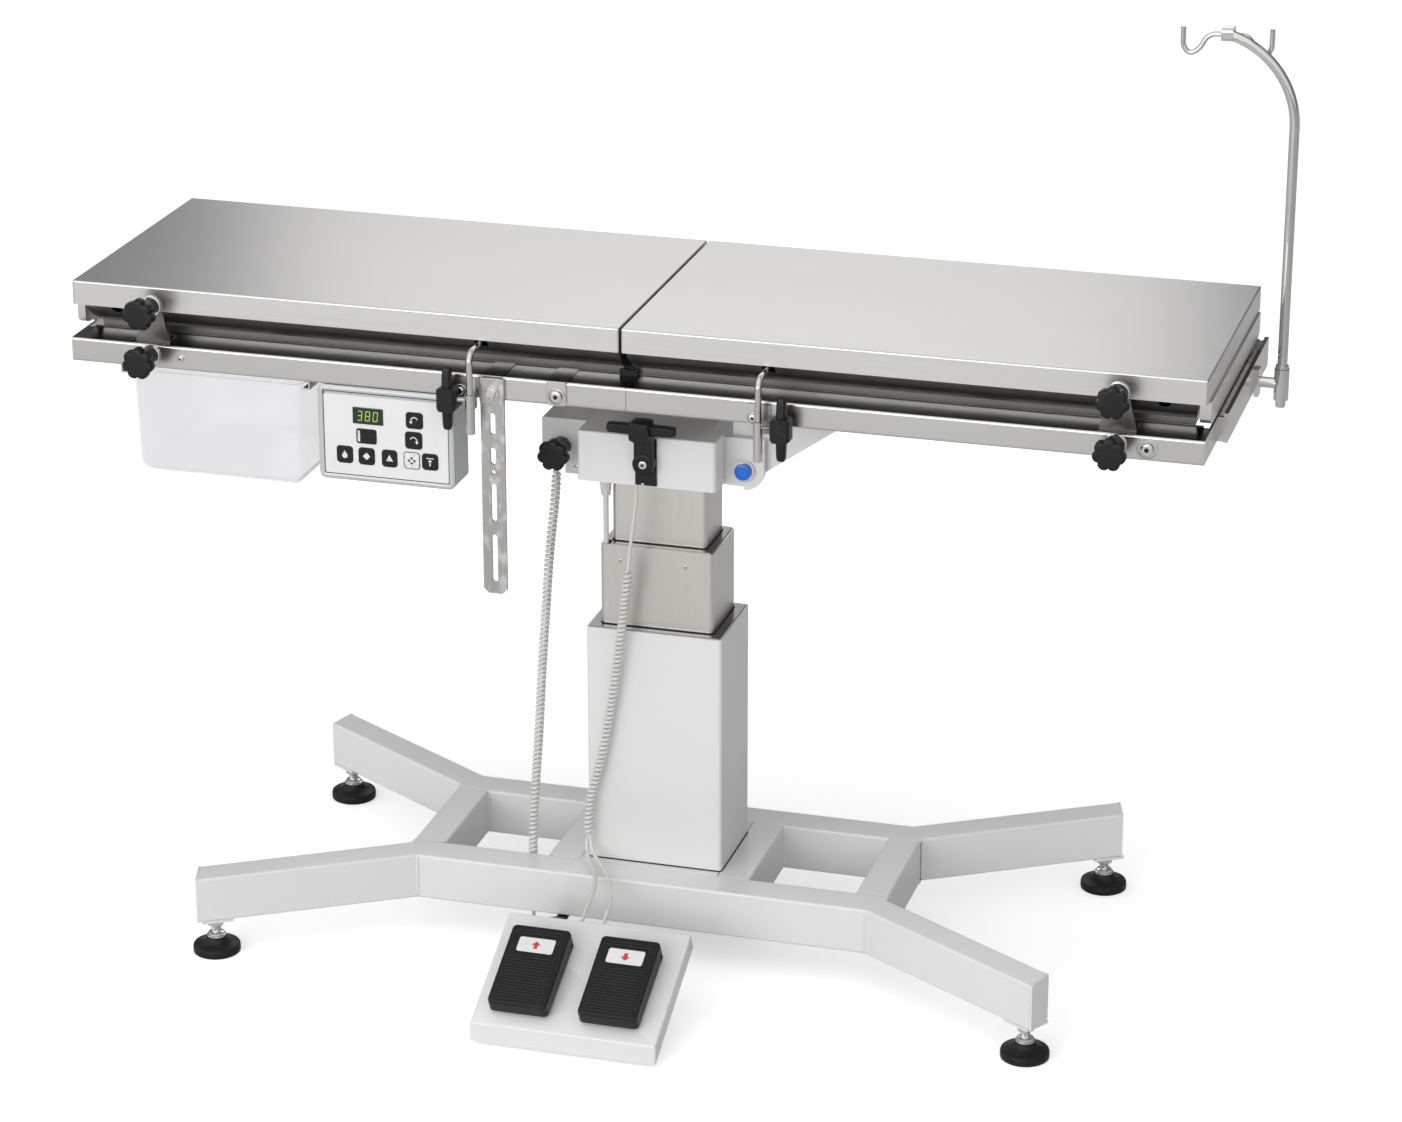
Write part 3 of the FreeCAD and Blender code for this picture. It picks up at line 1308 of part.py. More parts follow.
def build_head():
    """Head, tilt pivot, lever and lock."""
    save("head_housing", [head_housing()])
    save("head_wing", [head_wing()])
    save("head_ear", [head_ear((head_step_y, head_step_y + head_ear_thick)),
                      head_ear((head_ear_rear_y - head_ear_thick, head_ear_rear_y))])
    save("tilt_shaft", [tilt_shaft()])
    save("shaft_cap", [shaft_cap()])
    save("lever_plate", [lever_plate()])
    save("tilt_lever", [tilt_lever()])
    save("cable_gland", cable_glands())
    nut_y = head_step_y + wing_block_depth + rest_gap + quadrant_thick + rest_gap
    knob, stud = star_knob(lock_x, lock_z, head_step_y, nut_y + lock_nut_thick)
    nut = bar((lock_x, nut_y, lock_z), (lock_x, nut_y + lock_nut_thick, lock_z), lock_nut_r)
    save("tilt_knob", [knob, stud.fuse(nut).removeSplitter()])


def build_frame():
    """Under-frame and what is fixed to it."""
    save("frame_rail", frame_rails())
    save("frame_crossbar", frame_crossbars())
    front_arm = head_step_y + head_ear_thick + arm_gap
    rear_arm = head_ear_rear_y - head_ear_thick - arm_gap
    save("tilt_arm", [tilt_arm((front_arm, front_arm + arm_thick)), tilt_arm((rear_arm - arm_thick, rear_arm)),
                      tilt_quadrant()])
    save("pivot_ear", four_corners(pivot_ear(section_pivot_x)))
    save("rod_guide", [rod_guide(0), rod_guide(1)])
    save("rail_fixings", rail_fixings())
    save("bin_runner", [bin_runner(-1), bin_runner(1)])
    save("control_case", control_case())
    save("control_panel", [control_panel()])
    save("accessory_rail", [accessory_rail()])
    save("pole_socket", [pole_socket()])
    save("infusion_pole", infusion_pole())
    save("slotted_bar", [slotted_bar()])
    save("storage_bin", [storage_bin()])


def build_sections():
    """Top sections, their rods, wing screws and star knobs."""
    for name, side in (("left", -1), ("right", 1)):
        save("leaf_" + name, [leaf(side)])
        save("pan_" + name, [pan(side), heating_mat(side)])
        save("rod_" + name, [lifting_rod(side)])
        save("wing_" + name, wing_screw(side))
        x = side * section_pivot_x
        save("knob_upper_" + name, star_knob(x, section_pivot_z, -half_width, ear_inner_y + upper_stud_proud))
        save("knob_lower_" + name, star_knob(x, lower_knob_z, rail_front_y,
                                        rail_front_y + lower_stud_length))


def build_pedals():
    """Pedal unit."""
    save("pedal_base", pedal_base())
    save("pedal_arm", [pedal_arm()])
    save("pedal_switch", pedal_switches())
    save("pedal_raise", [pedal(pedal_xs[0])])
    save("pedal_lower", [pedal(pedal_xs[1])])


os.makedirs("parts", exist_ok=True)
build_base()
build_head()
build_frame()
build_sections()
build_pedals()
cords()
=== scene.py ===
import json
import math

import bmesh
import bpy
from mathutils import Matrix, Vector


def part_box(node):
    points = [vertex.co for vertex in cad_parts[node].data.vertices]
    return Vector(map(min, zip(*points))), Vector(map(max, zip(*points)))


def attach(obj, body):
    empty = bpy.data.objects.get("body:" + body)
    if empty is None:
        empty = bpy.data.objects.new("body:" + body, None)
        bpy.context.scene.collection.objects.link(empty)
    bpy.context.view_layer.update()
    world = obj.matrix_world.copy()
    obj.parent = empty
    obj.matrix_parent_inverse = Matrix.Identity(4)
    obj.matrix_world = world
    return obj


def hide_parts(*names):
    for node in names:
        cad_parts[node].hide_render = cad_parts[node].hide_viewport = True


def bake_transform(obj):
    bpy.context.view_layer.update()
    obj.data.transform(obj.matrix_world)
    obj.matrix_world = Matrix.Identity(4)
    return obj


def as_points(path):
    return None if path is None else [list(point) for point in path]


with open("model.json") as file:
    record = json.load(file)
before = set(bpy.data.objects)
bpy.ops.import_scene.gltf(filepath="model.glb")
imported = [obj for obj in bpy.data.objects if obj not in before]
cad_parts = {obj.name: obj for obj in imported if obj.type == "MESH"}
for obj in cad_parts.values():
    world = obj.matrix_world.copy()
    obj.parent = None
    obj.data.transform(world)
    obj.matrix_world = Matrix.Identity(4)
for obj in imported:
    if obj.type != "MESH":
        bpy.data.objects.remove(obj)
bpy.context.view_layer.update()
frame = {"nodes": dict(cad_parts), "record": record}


# Base frame. Two long beams, four cross beams and four splayed legs of 60 by 45 mm steel tube,
# welded at their mitres with plates over the open ends, ground flush on top and powder coated white.

class Shade:
    """A shader socket that Python's operators work on."""

    def __init__(self, tree, socket=None):
        self.tree = tree
        self.socket = socket

    def node(self, kind, settings=(), sockets=(), out=0):
        """Add a node: its settings first, then the values or links of its sockets."""
        made = self.tree.nodes.new(kind)
        for name, value in dict(settings).items():
            if name == "stops":
                first, last = made.color_ramp.elements
                first.position, first.color = value[0]
                last.position, last.color = value[-1]
                for place, colour in value[1:-1]:
                    made.color_ramp.elements.new(place).color = colour
            else:
                setattr(made, name, value)
        for name, value in dict(sockets).items():
            if isinstance(value, Shade):
                self.tree.links.new(value.socket, made.inputs[name])
            else:
                made.inputs[name].default_value = value
        return Shade(self.tree, made.outputs[out] if made.outputs else None)

    def number(self, operation, *values):
        return self.node("ShaderNodeMath", {"operation": operation}, enumerate(values))

    def __add__(self, other):
        return self.number("ADD", self, other)

    def __mul__(self, other):
        return self.number("MULTIPLY", self, other)

    __radd__ = __add__
    __rmul__ = __mul__

    def mix(self, factor, low, high):
        """Blend two colours."""
        return self.node("ShaderNodeMix", {"data_type": "RGBA"}, {0: factor, 6: low, 7: high}, out=2)

    def grain(self, scale, stretch=(1.0, 1.0, 1.0), detail=2.0):
        """Noise in the piece's own space, drawn out along the axes where stretch is small."""
        own = self.node("ShaderNodeTexCoord", out="Object")
        drawn = self.node("ShaderNodeMapping", sockets={"Vector": own, "Scale": stretch})
        return self.node("ShaderNodeTexNoise", sockets={"Vector": drawn, "Scale": scale, "Detail": detail})

    def facing(self, way):
        """How squarely the surface of the piece itself faces a way, from -1 to 1."""
        outward = self.node("ShaderNodeTexCoord", out="Normal")
        return self.node("ShaderNodeVectorMath", {"operation": "DOT_PRODUCT"}, {0: outward, 1: way},
                         out="Value")

    def band(self, value, low, high):
        """Ramp from 0 at low to 1 at high."""
        return self.node("ShaderNodeMapRange", sockets={0: value, 1: low, 2: high})

    def bump(self, height, depth):
        """Surface relief of that depth in metres."""
        return self.node("ShaderNodeBump", sockets={"Distance": depth, "Height": height})


def finish(name, recipe, same=()):
    """Make a material: recipe gives what changes over its surface, same what doesn't."""
    material = bpy.data.materials.new(name)
    material.use_nodes = True
    material.node_tree.nodes.clear()
    start = Shade(material.node_tree)
    surface = start.node("ShaderNodeBsdfPrincipled", sockets={**dict(same), **recipe(start)})
    start.node("ShaderNodeOutputMaterial", sockets={"Surface": surface})
    return material


def shown(name, shape, material, body, stands_for=(), crease=38):
    """Turn a mesh under construction into a piece that rides on a body."""
    bmesh.ops.recalc_face_normals(shape, faces=shape.faces)
    mesh = bpy.data.meshes.new(name)
    shape.to_mesh(mesh)
    shape.free()
    mesh.materials.append(material)
    mesh.shade_smooth()
    mesh.set_sharp_from_angle(angle=math.radians(crease))
    piece = bpy.data.objects.new(name, mesh)
    bpy.context.collection.objects.link(piece)
    weighted = piece.modifiers.new("weighted", "WEIGHTED_NORMAL")
    weighted.keep_sharp = True
    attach(piece, body)
    if stands_for:
        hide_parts(*stands_for)


body_of = {node: body for body, nodes in frame["record"]["behaviour"]["bodies"].items() for node in nodes}


def eased(node, width, material, shortest=0.0):
    """A CAD node's own form, with its sharp edges rounded where they are longer than shortest."""
    shape = bmesh.new()
    shape.from_mesh(frame["nodes"][node].data)
    bmesh.ops.remove_doubles(shape, verts=shape.verts, dist=1e-6)
    bmesh.ops.dissolve_limit(shape, angle_limit=math.radians(1), verts=shape.verts, edges=shape.edges)
    sharp = [edge for edge in shape.edges if len(edge.link_faces) == 2 and edge.calc_length() > shortest
             and edge.calc_face_angle() > math.radians(40)]
    bmesh.ops.bevel(shape, geom=sharp, offset=width, segments=3, profile=0.5, affect="EDGES",
                    clamp_overlap=True)
    shown(node + "_eased", shape, material, body_of[node], (node,))


def painted(material, *nodes):
    """Give CAD nodes whose shape is right a better material."""
    for node in nodes:
        for slot in frame["nodes"][node].material_slots:
            slot.material = material


def powder_coat_recipe(start):
    cloud = start.grain(7.0)
    peel = start.grain(650.0, detail=1.0)
    speck = start.grain(260.0, detail=3.0)
    return {"Base Color": start.mix(cloud, (0.71, 0.71, 0.71, 1), (0.77, 0.77, 0.765, 1)),
            "Roughness": 0.27 + 0.1 * cloud + 0.05 * speck,
            "Normal": start.bump(peel, 0.00005)}


powder_coat = finish("powder_coat", powder_coat_recipe,
                     {"Coat Weight": 0.35, "Coat Roughness": 0.16, "IOR": 1.5})
for node in ("side_beam", "cross_beam", "base_leg"):
    eased(node, 0.003, powder_coat, shortest=0.1)
eased("leg_end_plate", 0.0014, powder_coat)
eased("column_plate", 0.0008, powder_coat)


def loft(shape, rings, closed=False):
    """Skin a row of rings with the same number of points, and cap its ends or join them."""
    rows = [[shape.verts.new(spot) for spot in ring] for ring in rings]
    for low, high in zip(rows, rows[1:] + rows[:1] if closed else rows[1:]):
        for step, vert in enumerate(low):
            turn = (step + 1) % len(low)
            shape.faces.new((vert, low[turn], high[turn], high[step]))
    if not closed:
        shape.faces.new(rows[0][::-1])
        shape.faces.new(rows[-1])


def lathe(shape, profile, foot, axis=(0, 0, 1), steps=48):
    """Turn a profile of (distance along the axis, radius) about the axis through foot."""
    along = Vector(axis).normalized()
    side = along.orthogonal().normalized()
    across = along.cross(side)
    angles = [2 * math.pi * step / steps for step in range(steps)]
    loft(shape, [[Vector(foot) + along * distance
                  + (side * math.cos(angle) + across * math.sin(angle)) * radius for angle in angles]
                 for distance, radius in profile])


def weld_beads(name, spots, low, high, radius, pitch):
    """Rippled upright beads of weld, half sunk into the corners they join."""
    shape = bmesh.new()
    count = round((high - low) / pitch) * 4
    profile = []
    for step in range(count + 1):
        end = min(1.0, 0.1 + step / 4, 0.1 + (count - step) / 4) ** 0.5
        ripple = 0.82 + 0.18 * abs(math.sin(math.pi * step / 4))
        profile.append((step * (high - low) / count, radius * end * ripple))
    for x, y in spots:
        lathe(shape, profile, (x, y, low), steps=12)
    shown(name, shape, powder_coat, "base", crease=60)


bead_inset = 0.003
bead_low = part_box("side_beam")[0].z + bead_inset
bead_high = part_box("side_beam")[1].z - bead_inset
mitres = [(sx * x, sy * y) for x, y in ((0.293, 0.13), (0.313, 0.094)) for sx in (-1, 1) for sy in (-1, 1)]
windows = [(sx * x, sy * 0.084) for x in (0.133, 0.2705) for sx in (-1, 1) for sy in (-1, 1)]
weld_beads("leg_welds", mitres, bead_low, bead_high, 0.0019, 0.0042)
weld_beads("window_welds", windows, bead_low, bead_high, 0.0026, 0.0045)


# Levelling feet. A moulded black pad with a rolled rim, clamped by a plated washer to a
# threaded steel stem, which screws into the plate under the leg and is locked by a hex nut.

def black_moulding_recipe(start):
    grain = start.grain(900.0, detail=2.0)
    scuff = start.band(start.grain(70.0, detail=5.0), 0.56, 0.72)
    return {"Base Color": start.mix(scuff, (0.006, 0.006, 0.0065, 1), (0.014, 0.014, 0.0145, 1)),
            "Roughness": 0.34 + 0.12 * grain + 0.08 * scuff,
            "Normal": start.bump(grain, 0.00005)}


def bright_steel_recipe(start):
    smear = start.grain(45.0, detail=3.0)
    fine = start.grain(900.0, (1.0, 1.0, 0.15), detail=1.0)
    return {"Base Color": start.mix(smear, (0.66, 0.65, 0.64, 1), (0.8, 0.79, 0.78, 1)),
            "Roughness": 0.1 + 0.12 * smear,
            "Normal": start.bump(fine, 0.00001)}


black_moulding = finish("black_moulding", black_moulding_recipe, {"Specular IOR Level": 0.32})
bright_steel = finish("bright_steel", bright_steel_recipe, {"Metallic": 1.0})
pad_profile = ((0, 0.0285), (0.0008, 0.0297), (0.0022, 0.03), (0.0075, 0.03), (0.0083, 0.0293),
               (0.009, 0.0293), (0.0097, 0.0296), (0.0106, 0.029), (0.0111, 0.0278), (0.0124, 0.0222),
               (0.0146, 0.0172), (0.018, 0.0143), (0.02, 0.0135), (0.0208, 0.0125))
washer_profile = ((0.0205, 0.0119), (0.0213, 0.0124), (0.0228, 0.0124), (0.0236, 0.0117), (0.024, 0.0102),
                  (0.0246, 0.01), (0.0262, 0.01), (0.0268, 0.0092), (0.0272, 0.006))
thread = tuple((0.0276 + 0.0009 * step, 0.0053 if step % 2 else 0.006) for step in range(11))
nut_profile = ((0.0368, 0.0104), (0.0377, 0.011), (0.0448, 0.011), (0.0457, 0.0104))
stem_end = (0.0462, 0.006)


def turned(name, profile, foot, material, body, stands_for=(), crease=38, axis=(0, 0, 1), steps=48):
    """A piece turned from one profile."""
    shape = bmesh.new()
    lathe(shape, profile, foot, axis, steps)
    shown(name, shape, material, body, stands_for, crease)


for corner in ("front_left", "front_right", "rear_left", "rear_right"):
    node = "foot_" + corner
    low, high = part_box(node)
    spot = ((low.x + high.x) / 2, (low.y + high.y) / 2, 0)
    turned("pad_" + corner, pad_profile, spot, black_moulding, body_of[node], (node,), crease=50,
           steps=72)
    turned("stem_" + corner, (*washer_profile, *thread, stem_end), spot, bright_steel, body_of[node],
           steps=36)
    turned("nut_" + corner, nut_profile, spot, bright_steel, body_of[node], crease=25, steps=6)


# Column. Three telescoping sleeves: the outer one folded from sheet and powder coated, the middle
# and inner ones brushed stainless tube, sliding in polished collars with a black wiper lip.

def drawn_steel_recipe(start):
    streak = start.grain(90.0, (9.0, 9.0, 0.12), detail=3.0)
    cloud = start.grain(5.0, (1.0, 1.0, 0.5), detail=2.0)
    fine = start.grain(420.0, (6.0, 6.0, 0.08), detail=1.0)
    tone = 0.5 * cloud + 0.5 * streak
    return {"Base Color": start.mix(tone, (0.58, 0.555, 0.53, 1), (0.74, 0.715, 0.69, 1)),
            "Roughness": 0.28 + 0.12 * streak + 0.06 * cloud,
            "Normal": start.bump(0.6 * fine + 0.4 * streak, 0.00002)}


drawn_steel = finish("drawn_steel", drawn_steel_recipe, {"Metallic": 1.0})
painted(powder_coat, "outer_sleeve")
painted(drawn_steel, "middle_sleeve", "inner_sleeve")
painted(bright_steel, "lift_actuator", "actuator_rod")


def clouded(scale, dark, light, rough, rougher, detail=2.0, relief=None):
    """Recipe of a plain finish: soft clouds in its colour and roughness, and a fine relief if it has one."""
    def recipe(start):
        cloud = start.grain(scale, detail=detail)
        looks = {"Base Color": start.mix(cloud, dark, light), "Roughness": rough + rougher * cloud}
        if relief:
            looks["Normal"] = start.bump(start.grain(relief), 0.00003)
        return looks
    return recipe


collar_recipe = clouded(45.0, (0.24, 0.235, 0.23, 1), (0.33, 0.325, 0.32, 1), 0.16, 0.12, detail=3.0)
collar_steel = finish("collar_steel", collar_recipe, {"Metallic": 1.0})
painted(collar_steel, "outer_glide", "middle_glide")


def rounded(low, high, corner, steps=6):
    """Outline of a rectangle with round corners: its points, each with the way out there."""
    outline = []
    middles = ((high[0] - corner, high[1] - corner), (low[0] + corner, high[1] - corner),
               (low[0] + corner, low[1] + corner), (high[0] - corner, low[1] + corner))
    for turn, middle in enumerate(middles):
        for step in range(steps + 1):
            angle = math.pi / 2 * (turn + step / steps)
            way = Vector((math.cos(angle), math.sin(angle)))
            outline.append((Vector(middle) + way * corner, way))
    return outline


def formed(name, rings, material, body, stands_for=(), crease=38, closed=False):
    """A piece skinned over one row of rings."""
    shape = bmesh.new()
    loft(shape, rings, closed)
    shown(name, shape, material, body, stands_for, crease)


sleeve_corner = 0.006


def lip(name, sleeve, z, section, body):
    """A black lip that goes round a sleeve: section is its points (outward, upward)."""
    outline = rounded(*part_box(sleeve), sleeve_corner)
    formed(name, [[(*(spot + way * out), z + up) for spot, way in outline] for out, up in section],
           black_moulding, body, closed=True)


sealant = ((-0.0005, 0), (0.0012, 0), (0.0004, 0.0014), (-0.0005, 0.0016))
wiper = ((-0.0002, 0), (0.0015, 0), (0.0015, 0.0006), (0.0005, 0.0014), (-0.0002, 0.0014))
lip("sleeve_sealant", "outer_sleeve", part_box("outer_sleeve")[0].z, sealant, "base")
lip("outer_wiper", "middle_sleeve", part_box("outer_glide")[1].z, wiper, "base")
lip("middle_wiper", "inner_sleeve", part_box("middle_glide")[1].z, wiper, "middle")
forward = (0, -1, 0)


def screw(name, spot, radius, body, tall):
    """Screw head with a six-sided driver recess, seated at spot and facing forward; the recess is a black
    six-sided disc of painted shade.
    """
    turned(name, ((0, radius), (tall * 0.45, radius), (tall * 0.8, radius * 0.88), (tall, radius * 0.66)),
           spot, bright_steel, body, crease=50, axis=forward, steps=28)
    turned(name + "_recess", ((tall - 0.0004, radius * 0.4), (tall + 0.00006, radius * 0.4)), spot,
           black_moulding, body, axis=forward, steps=6)


sleeve_face, sleeve_screw_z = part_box("middle_sleeve")[0].y, 0.511
for name, x in (("right", 0.0424), ("left", -0.0414)):
    screw("sleeve_screw_" + name, (x, sleeve_face, sleeve_screw_z), 0.0026, "middle", 0.0009)


# Lifting head. A welded and powder coated box with a wing on its left that takes the cables and two
# ears on its right that carry the tilt shaft, a plated shaft with a retaining ring and a blue end cap.

blue_recipe = clouded(500.0, (0.0, 0.11, 0.62, 1), (0.005, 0.16, 0.78, 1), 0.26, 0.12, relief=500.0)
blue_plastic = finish("blue_plastic", blue_recipe, {"Coat Weight": 0.3, "Coat Roughness": 0.15})
for node in ("head_housing", "head_wing", "head_ear"):
    eased(node, 0.0022, powder_coat, shortest=0.012)
painted(bright_steel, "tilt_shaft")
cap_low, cap_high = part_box("shaft_cap")
cap_spot = ((cap_low.x + cap_high.x) / 2, cap_high.y, (cap_low.z + cap_high.z) / 2)
cap_profile = ((0, 0.0096), (0.0003, 0.0103), (0.003, 0.0105), (0.0041, 0.0101), (0.0047, 0.0091),
               (0.0049, 0.007), (0.0044, 0.0066), (0.0044, 0.001))
turned("shaft_cap_turned", cap_profile, cap_spot, blue_plastic, "head", ("shaft_cap",),
       crease=30, axis=forward)


# Tilt lever. A black painted steel plate on the front of the head and, pinned to it, a moulded
# T-shaped lever: a flat arm with a round boss at its pin, a domed hub and two flattened grips.

def upright(outline, out, face):
    """Points of an outline on a front face, moved out by that much and standing at face."""
    return [((spot + way * out).x, face, (spot + way * out).y) for spot, way in outline]


eased("lever_plate", 0.0006, black_moulding, shortest=0.002)
lever_x, pin_z = 0.011, 0.668
grip_y, grip_z, hub_z = -0.14, 0.715, 0.7005
lever = bmesh.new()
for low, high, corner, back, front in (((-0.001, 0.658), (0.023, 0.709), 0.002, -0.1262, -0.1345),
                                       ((-0.0015, 0.703), (0.0235, 0.726), 0.004, -0.13, -0.1545)):
    outline = rounded(low, high, corner)
    loft(lever, [upright(outline, out, y) for y, out in
                 ((back, 0), (front + 0.0015, 0), (front + 0.0004, -0.0005), (front, -0.0015))])
lathe(lever, ((0, 0.0135), (0.0108, 0.0135), (0.0118, 0.013), (0.0123, 0.012), (0.0124, 0.0085),
              (0.0116, 0.0078), (0.0116, 0.006)), (lever_x, -0.1236, pin_z), forward)
lathe(lever, ((0, 0.0125), (0.002, 0.0138), (0.0215, 0.014), (0.0238, 0.0132), (0.0256, 0.0112),
              (0.0266, 0.008), (0.027, 0.003)), (lever_x, grip_y, hub_z))
reach = 0.0425
grip = ((0.004, 0.0066, 0.0074), (0.014, 0.0063, 0.007), (0.017, 0.0058, 0.0063),
        (reach - 0.003, 0.0055, 0.0059), (reach - 0.0008, 0.005, 0.0054), (reach, 0.0042, 0.0046))
for way in (-1, 1):
    loft(lever, [[(lever_x + way * along, grip_y + spot.x, grip_z + spot.y)
                  for spot, out in rounded((-deep, -tall), (deep, tall), 0.0022)]
                 for along, deep, tall in grip])
shown("tilt_lever_moulded", lever, black_moulding, "lever", ("tilt_lever",), crease=35)
screw("plate_screw", (lever_x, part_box("lever_plate")[0].y, 0.643), 0.002, "head", 0.001)
screw("lever_screw", (lever_x, -0.1352, pin_z), 0.0056, "lever", 0.0026)


# Cable gland and cord sockets. Turned from white plastic, screwed into the underside of the wing,
# with a stepped nut and a tapering sleeve that grips the cable.

pale_recipe = clouded(60.0, (0.6, 0.6, 0.585, 1), (0.7, 0.7, 0.69, 1), 0.3, 0.1, relief=700.0)
pale_plastic = finish("pale_plastic", pale_recipe, {"Subsurface Weight": 0.1, "Subsurface Scale": 0.002})
gland = bmesh.new()
gland_profile = ((0, 0.009), (0.0155, 0.009), (0.0163, 0.0084), (0.017, 0.008), (0.026, 0.0076),
                 (0.0266, 0.0071), (0.0272, 0.0071), (0.035, 0.0066), (0.0356, 0.0062), (0.0412, 0.0057))
socket_profile = ((0, 0.007), (0.015, 0.007), (0.0158, 0.0064))
for profile, spot in ((gland_profile, (-0.0615, -0.0535, 0.6355)),
                      (socket_profile, (-0.122, -0.064, 0.656))):
    lathe(gland, profile, spot, (0, 0, -1), steps=32)
shown("cable_gland_turned", gland, pale_plastic, "head", ("cable_gland",), crease=25)


# Under-frame. Ground stainless rails in two halves with a seam at the middle, welded cross bars,
# tilt arms under them, and bolted on: ears, guide blocks, brackets, screws and washers.

def ground_steel_recipe(start):
    streak = start.grain(260.0, (0.012, 3.0, 3.0), detail=2.0)
    cloud = start.grain(3.5, (0.6, 2.0, 2.0), detail=2.0)
    plain = start.mix(cloud, (0.59, 0.572, 0.55, 1), (0.66, 0.642, 0.62, 1))
    # Painted reflection: faces that look straight up are painted near black, for the dark undersides of the
    # pans mirrored in the rail tops.
    painted_dark_reflection = start.mix(cloud, (0.05, 0.048, 0.045, 1), (0.075, 0.072, 0.068, 1))
    return {"Base Color": start.mix(start.band(start.facing((0, 0, 1)), 0.88, 0.96), plain, painted_dark_reflection),
            "Roughness": 0.2 + 0.06 * streak + 0.05 * cloud,
            "Normal": start.bump(streak, 0.000006)}


ground_steel = finish("ground_steel", ground_steel_recipe, {"Metallic": 1.0})
painted(ground_steel, "frame_rail", "frame_crossbar", "rod_guide", "bin_runner")
painted(powder_coat, "tilt_arm")


# Painted shade: the pivot ears are painted a dark steel, for the shadow that the leaves cast over them.
def ear_painted_shade_recipe(start):
    streak = start.grain(260.0, (3.0, 3.0, 0.02), detail=2.0)
    cloud = start.grain(20.0, detail=3.0)
    return {"Base Color": start.mix(cloud, (0.17, 0.165, 0.16, 1), (0.27, 0.262, 0.255, 1)),
            "Roughness": 0.22 + 0.08 * streak + 0.05 * cloud}


ear_painted_shade_steel = finish("ear_painted_shade_steel", ear_painted_shade_recipe, {"Metallic": 1.0})
painted(ear_painted_shade_steel, "pivot_ear")
rail_face = -0.199
rail_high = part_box("frame_rail")[1]
brackets = bmesh.new()
outline = rounded((-0.0885, 0.7565), (-0.0635, 0.7868), 0.0045)
loft(brackets, [upright(outline, out, y) for y, out in
                ((rail_face, 0), (rail_face - 0.0024, 0), (rail_face - 0.003, -0.0006))])
for x in (-0.076, -0.156):
    strap = ((-0.0125, -0.2015), (0.0125, -0.2015), (0.0125, -0.1505), (-0.0125, -0.1505))
    loft(brackets, [[(x + across, y, z) for across, y in strap]
                    for z in (rail_high.z, rail_high.z + 0.0011)])
shown("rail_brackets", brackets, ground_steel, "frame", ("rail_fixings",), crease=30)
washer_thick = 0.0014
washer = ((0, 1.0), (0.0008, 1.0), (washer_thick, 0.95), (washer_thick, 0.84), (0.0003, 0.8), (0.0003, 0.5))
for name, x, z, face, radius, head in (("left", -0.618, 0.771, rail_face, 0.0085, 0.0056),
                                       ("small", -0.557, 0.771, rail_face, 0.0, 0.0042),
                                       ("bracket", -0.0755, 0.7685, rail_face - 0.003, 0.011, 0.0074),
                                       ("guide_left", -0.196, 0.765, rail_face - 0.003, 0.0082, 0.0052),
                                       ("guide_right", 0.167, 0.765, rail_face - 0.003, 0.0082, 0.0052),
                                       ("right", 0.634, 0.7702, rail_face, 0.0128, 0.0078)):
    if radius:
        turned("rail_washer_" + name, [(rise, share * radius) for rise, share in washer], (x, face, z),
               ground_steel, "frame", crease=30, axis=forward)
    screw("rail_screw_" + name, (x, face - (washer_thick if radius else 0), z), head, "frame", 0.003)


# Rail shade strips. A black strip on each rail closes the slit below the pans' lips, its black a painted
# shade for the dark slit, with a buffer on it at the seam, where the two sections of the top meet.

strip_section = ((0.1496, rail_high.z - 0.0006), (0.149, rail_high.z + 0.0009),
                 (0.1468, rail_high.z + 0.0009), (0.1464, 0.782), (0.149, 0.782))
buffer_section = ((0.1555, rail_high.z), (0.1555, 0.793), (0.1545, 0.7942), (0.1512, 0.7942),
                  (0.1512, rail_high.z))
for name, side in (("front", -1), ("rear", 1)):
    strip = bmesh.new()
    for section, reach in ((strip_section, 0.69), (buffer_section, 0.011)):
        loft(strip, [[(x, side * y, z) for y, z in section] for x in (-reach, reach)])
    shown("rail_seal_" + name, strip, black_moulding, "frame", crease=30)


# Control box. A die cast case painted silver grey, its front rim raised round a printed film keypad
# with a dark glass display and domed keys, hung below the left front rail.

def case_grey_recipe(start):
    grain = start.grain(420.0)
    cloud = start.grain(9.0)
    return {"Base Color": start.mix(cloud, (0.5, 0.505, 0.51, 1), (0.58, 0.585, 0.59, 1)),
            "Roughness": 0.34 + 0.1 * grain,
            "Normal": start.bump(grain, 0.00004)}


def film_recipe(start):
    grain = start.grain(1300.0)
    cloud = start.grain(14.0)
    return {"Base Color": start.mix(cloud, (0.72, 0.72, 0.72, 1), (0.78, 0.78, 0.78, 1)),
            "Roughness": 0.38 + 0.1 * grain,
            "Normal": start.bump(grain, 0.00002)}


def worn_print(scale, solid, faded, fresh, rough):
    """Recipe of printing ink that has worn in small spots; solid is the noise level where it is whole."""
    def recipe(start):
        worn = start.band(start.grain(scale, detail=4.0), 0.3, solid)
        return {"Base Color": start.mix(worn, faded, fresh), "Roughness": rough + 0.1 * worn}
    return recipe


def lit_segment_recipe(start):
    glow = start.band(start.grain(240.0), 0.2, 0.8)
    return {"Base Color": start.mix(glow, (0.1, 0.2, 0.02, 1), (0.16, 0.3, 0.03, 1)),
            "Emission Color": start.mix(glow, (0.3, 0.62, 0.08, 1), (0.42, 0.8, 0.12, 1)),
            "Roughness": 0.4 + 0.1 * glow}


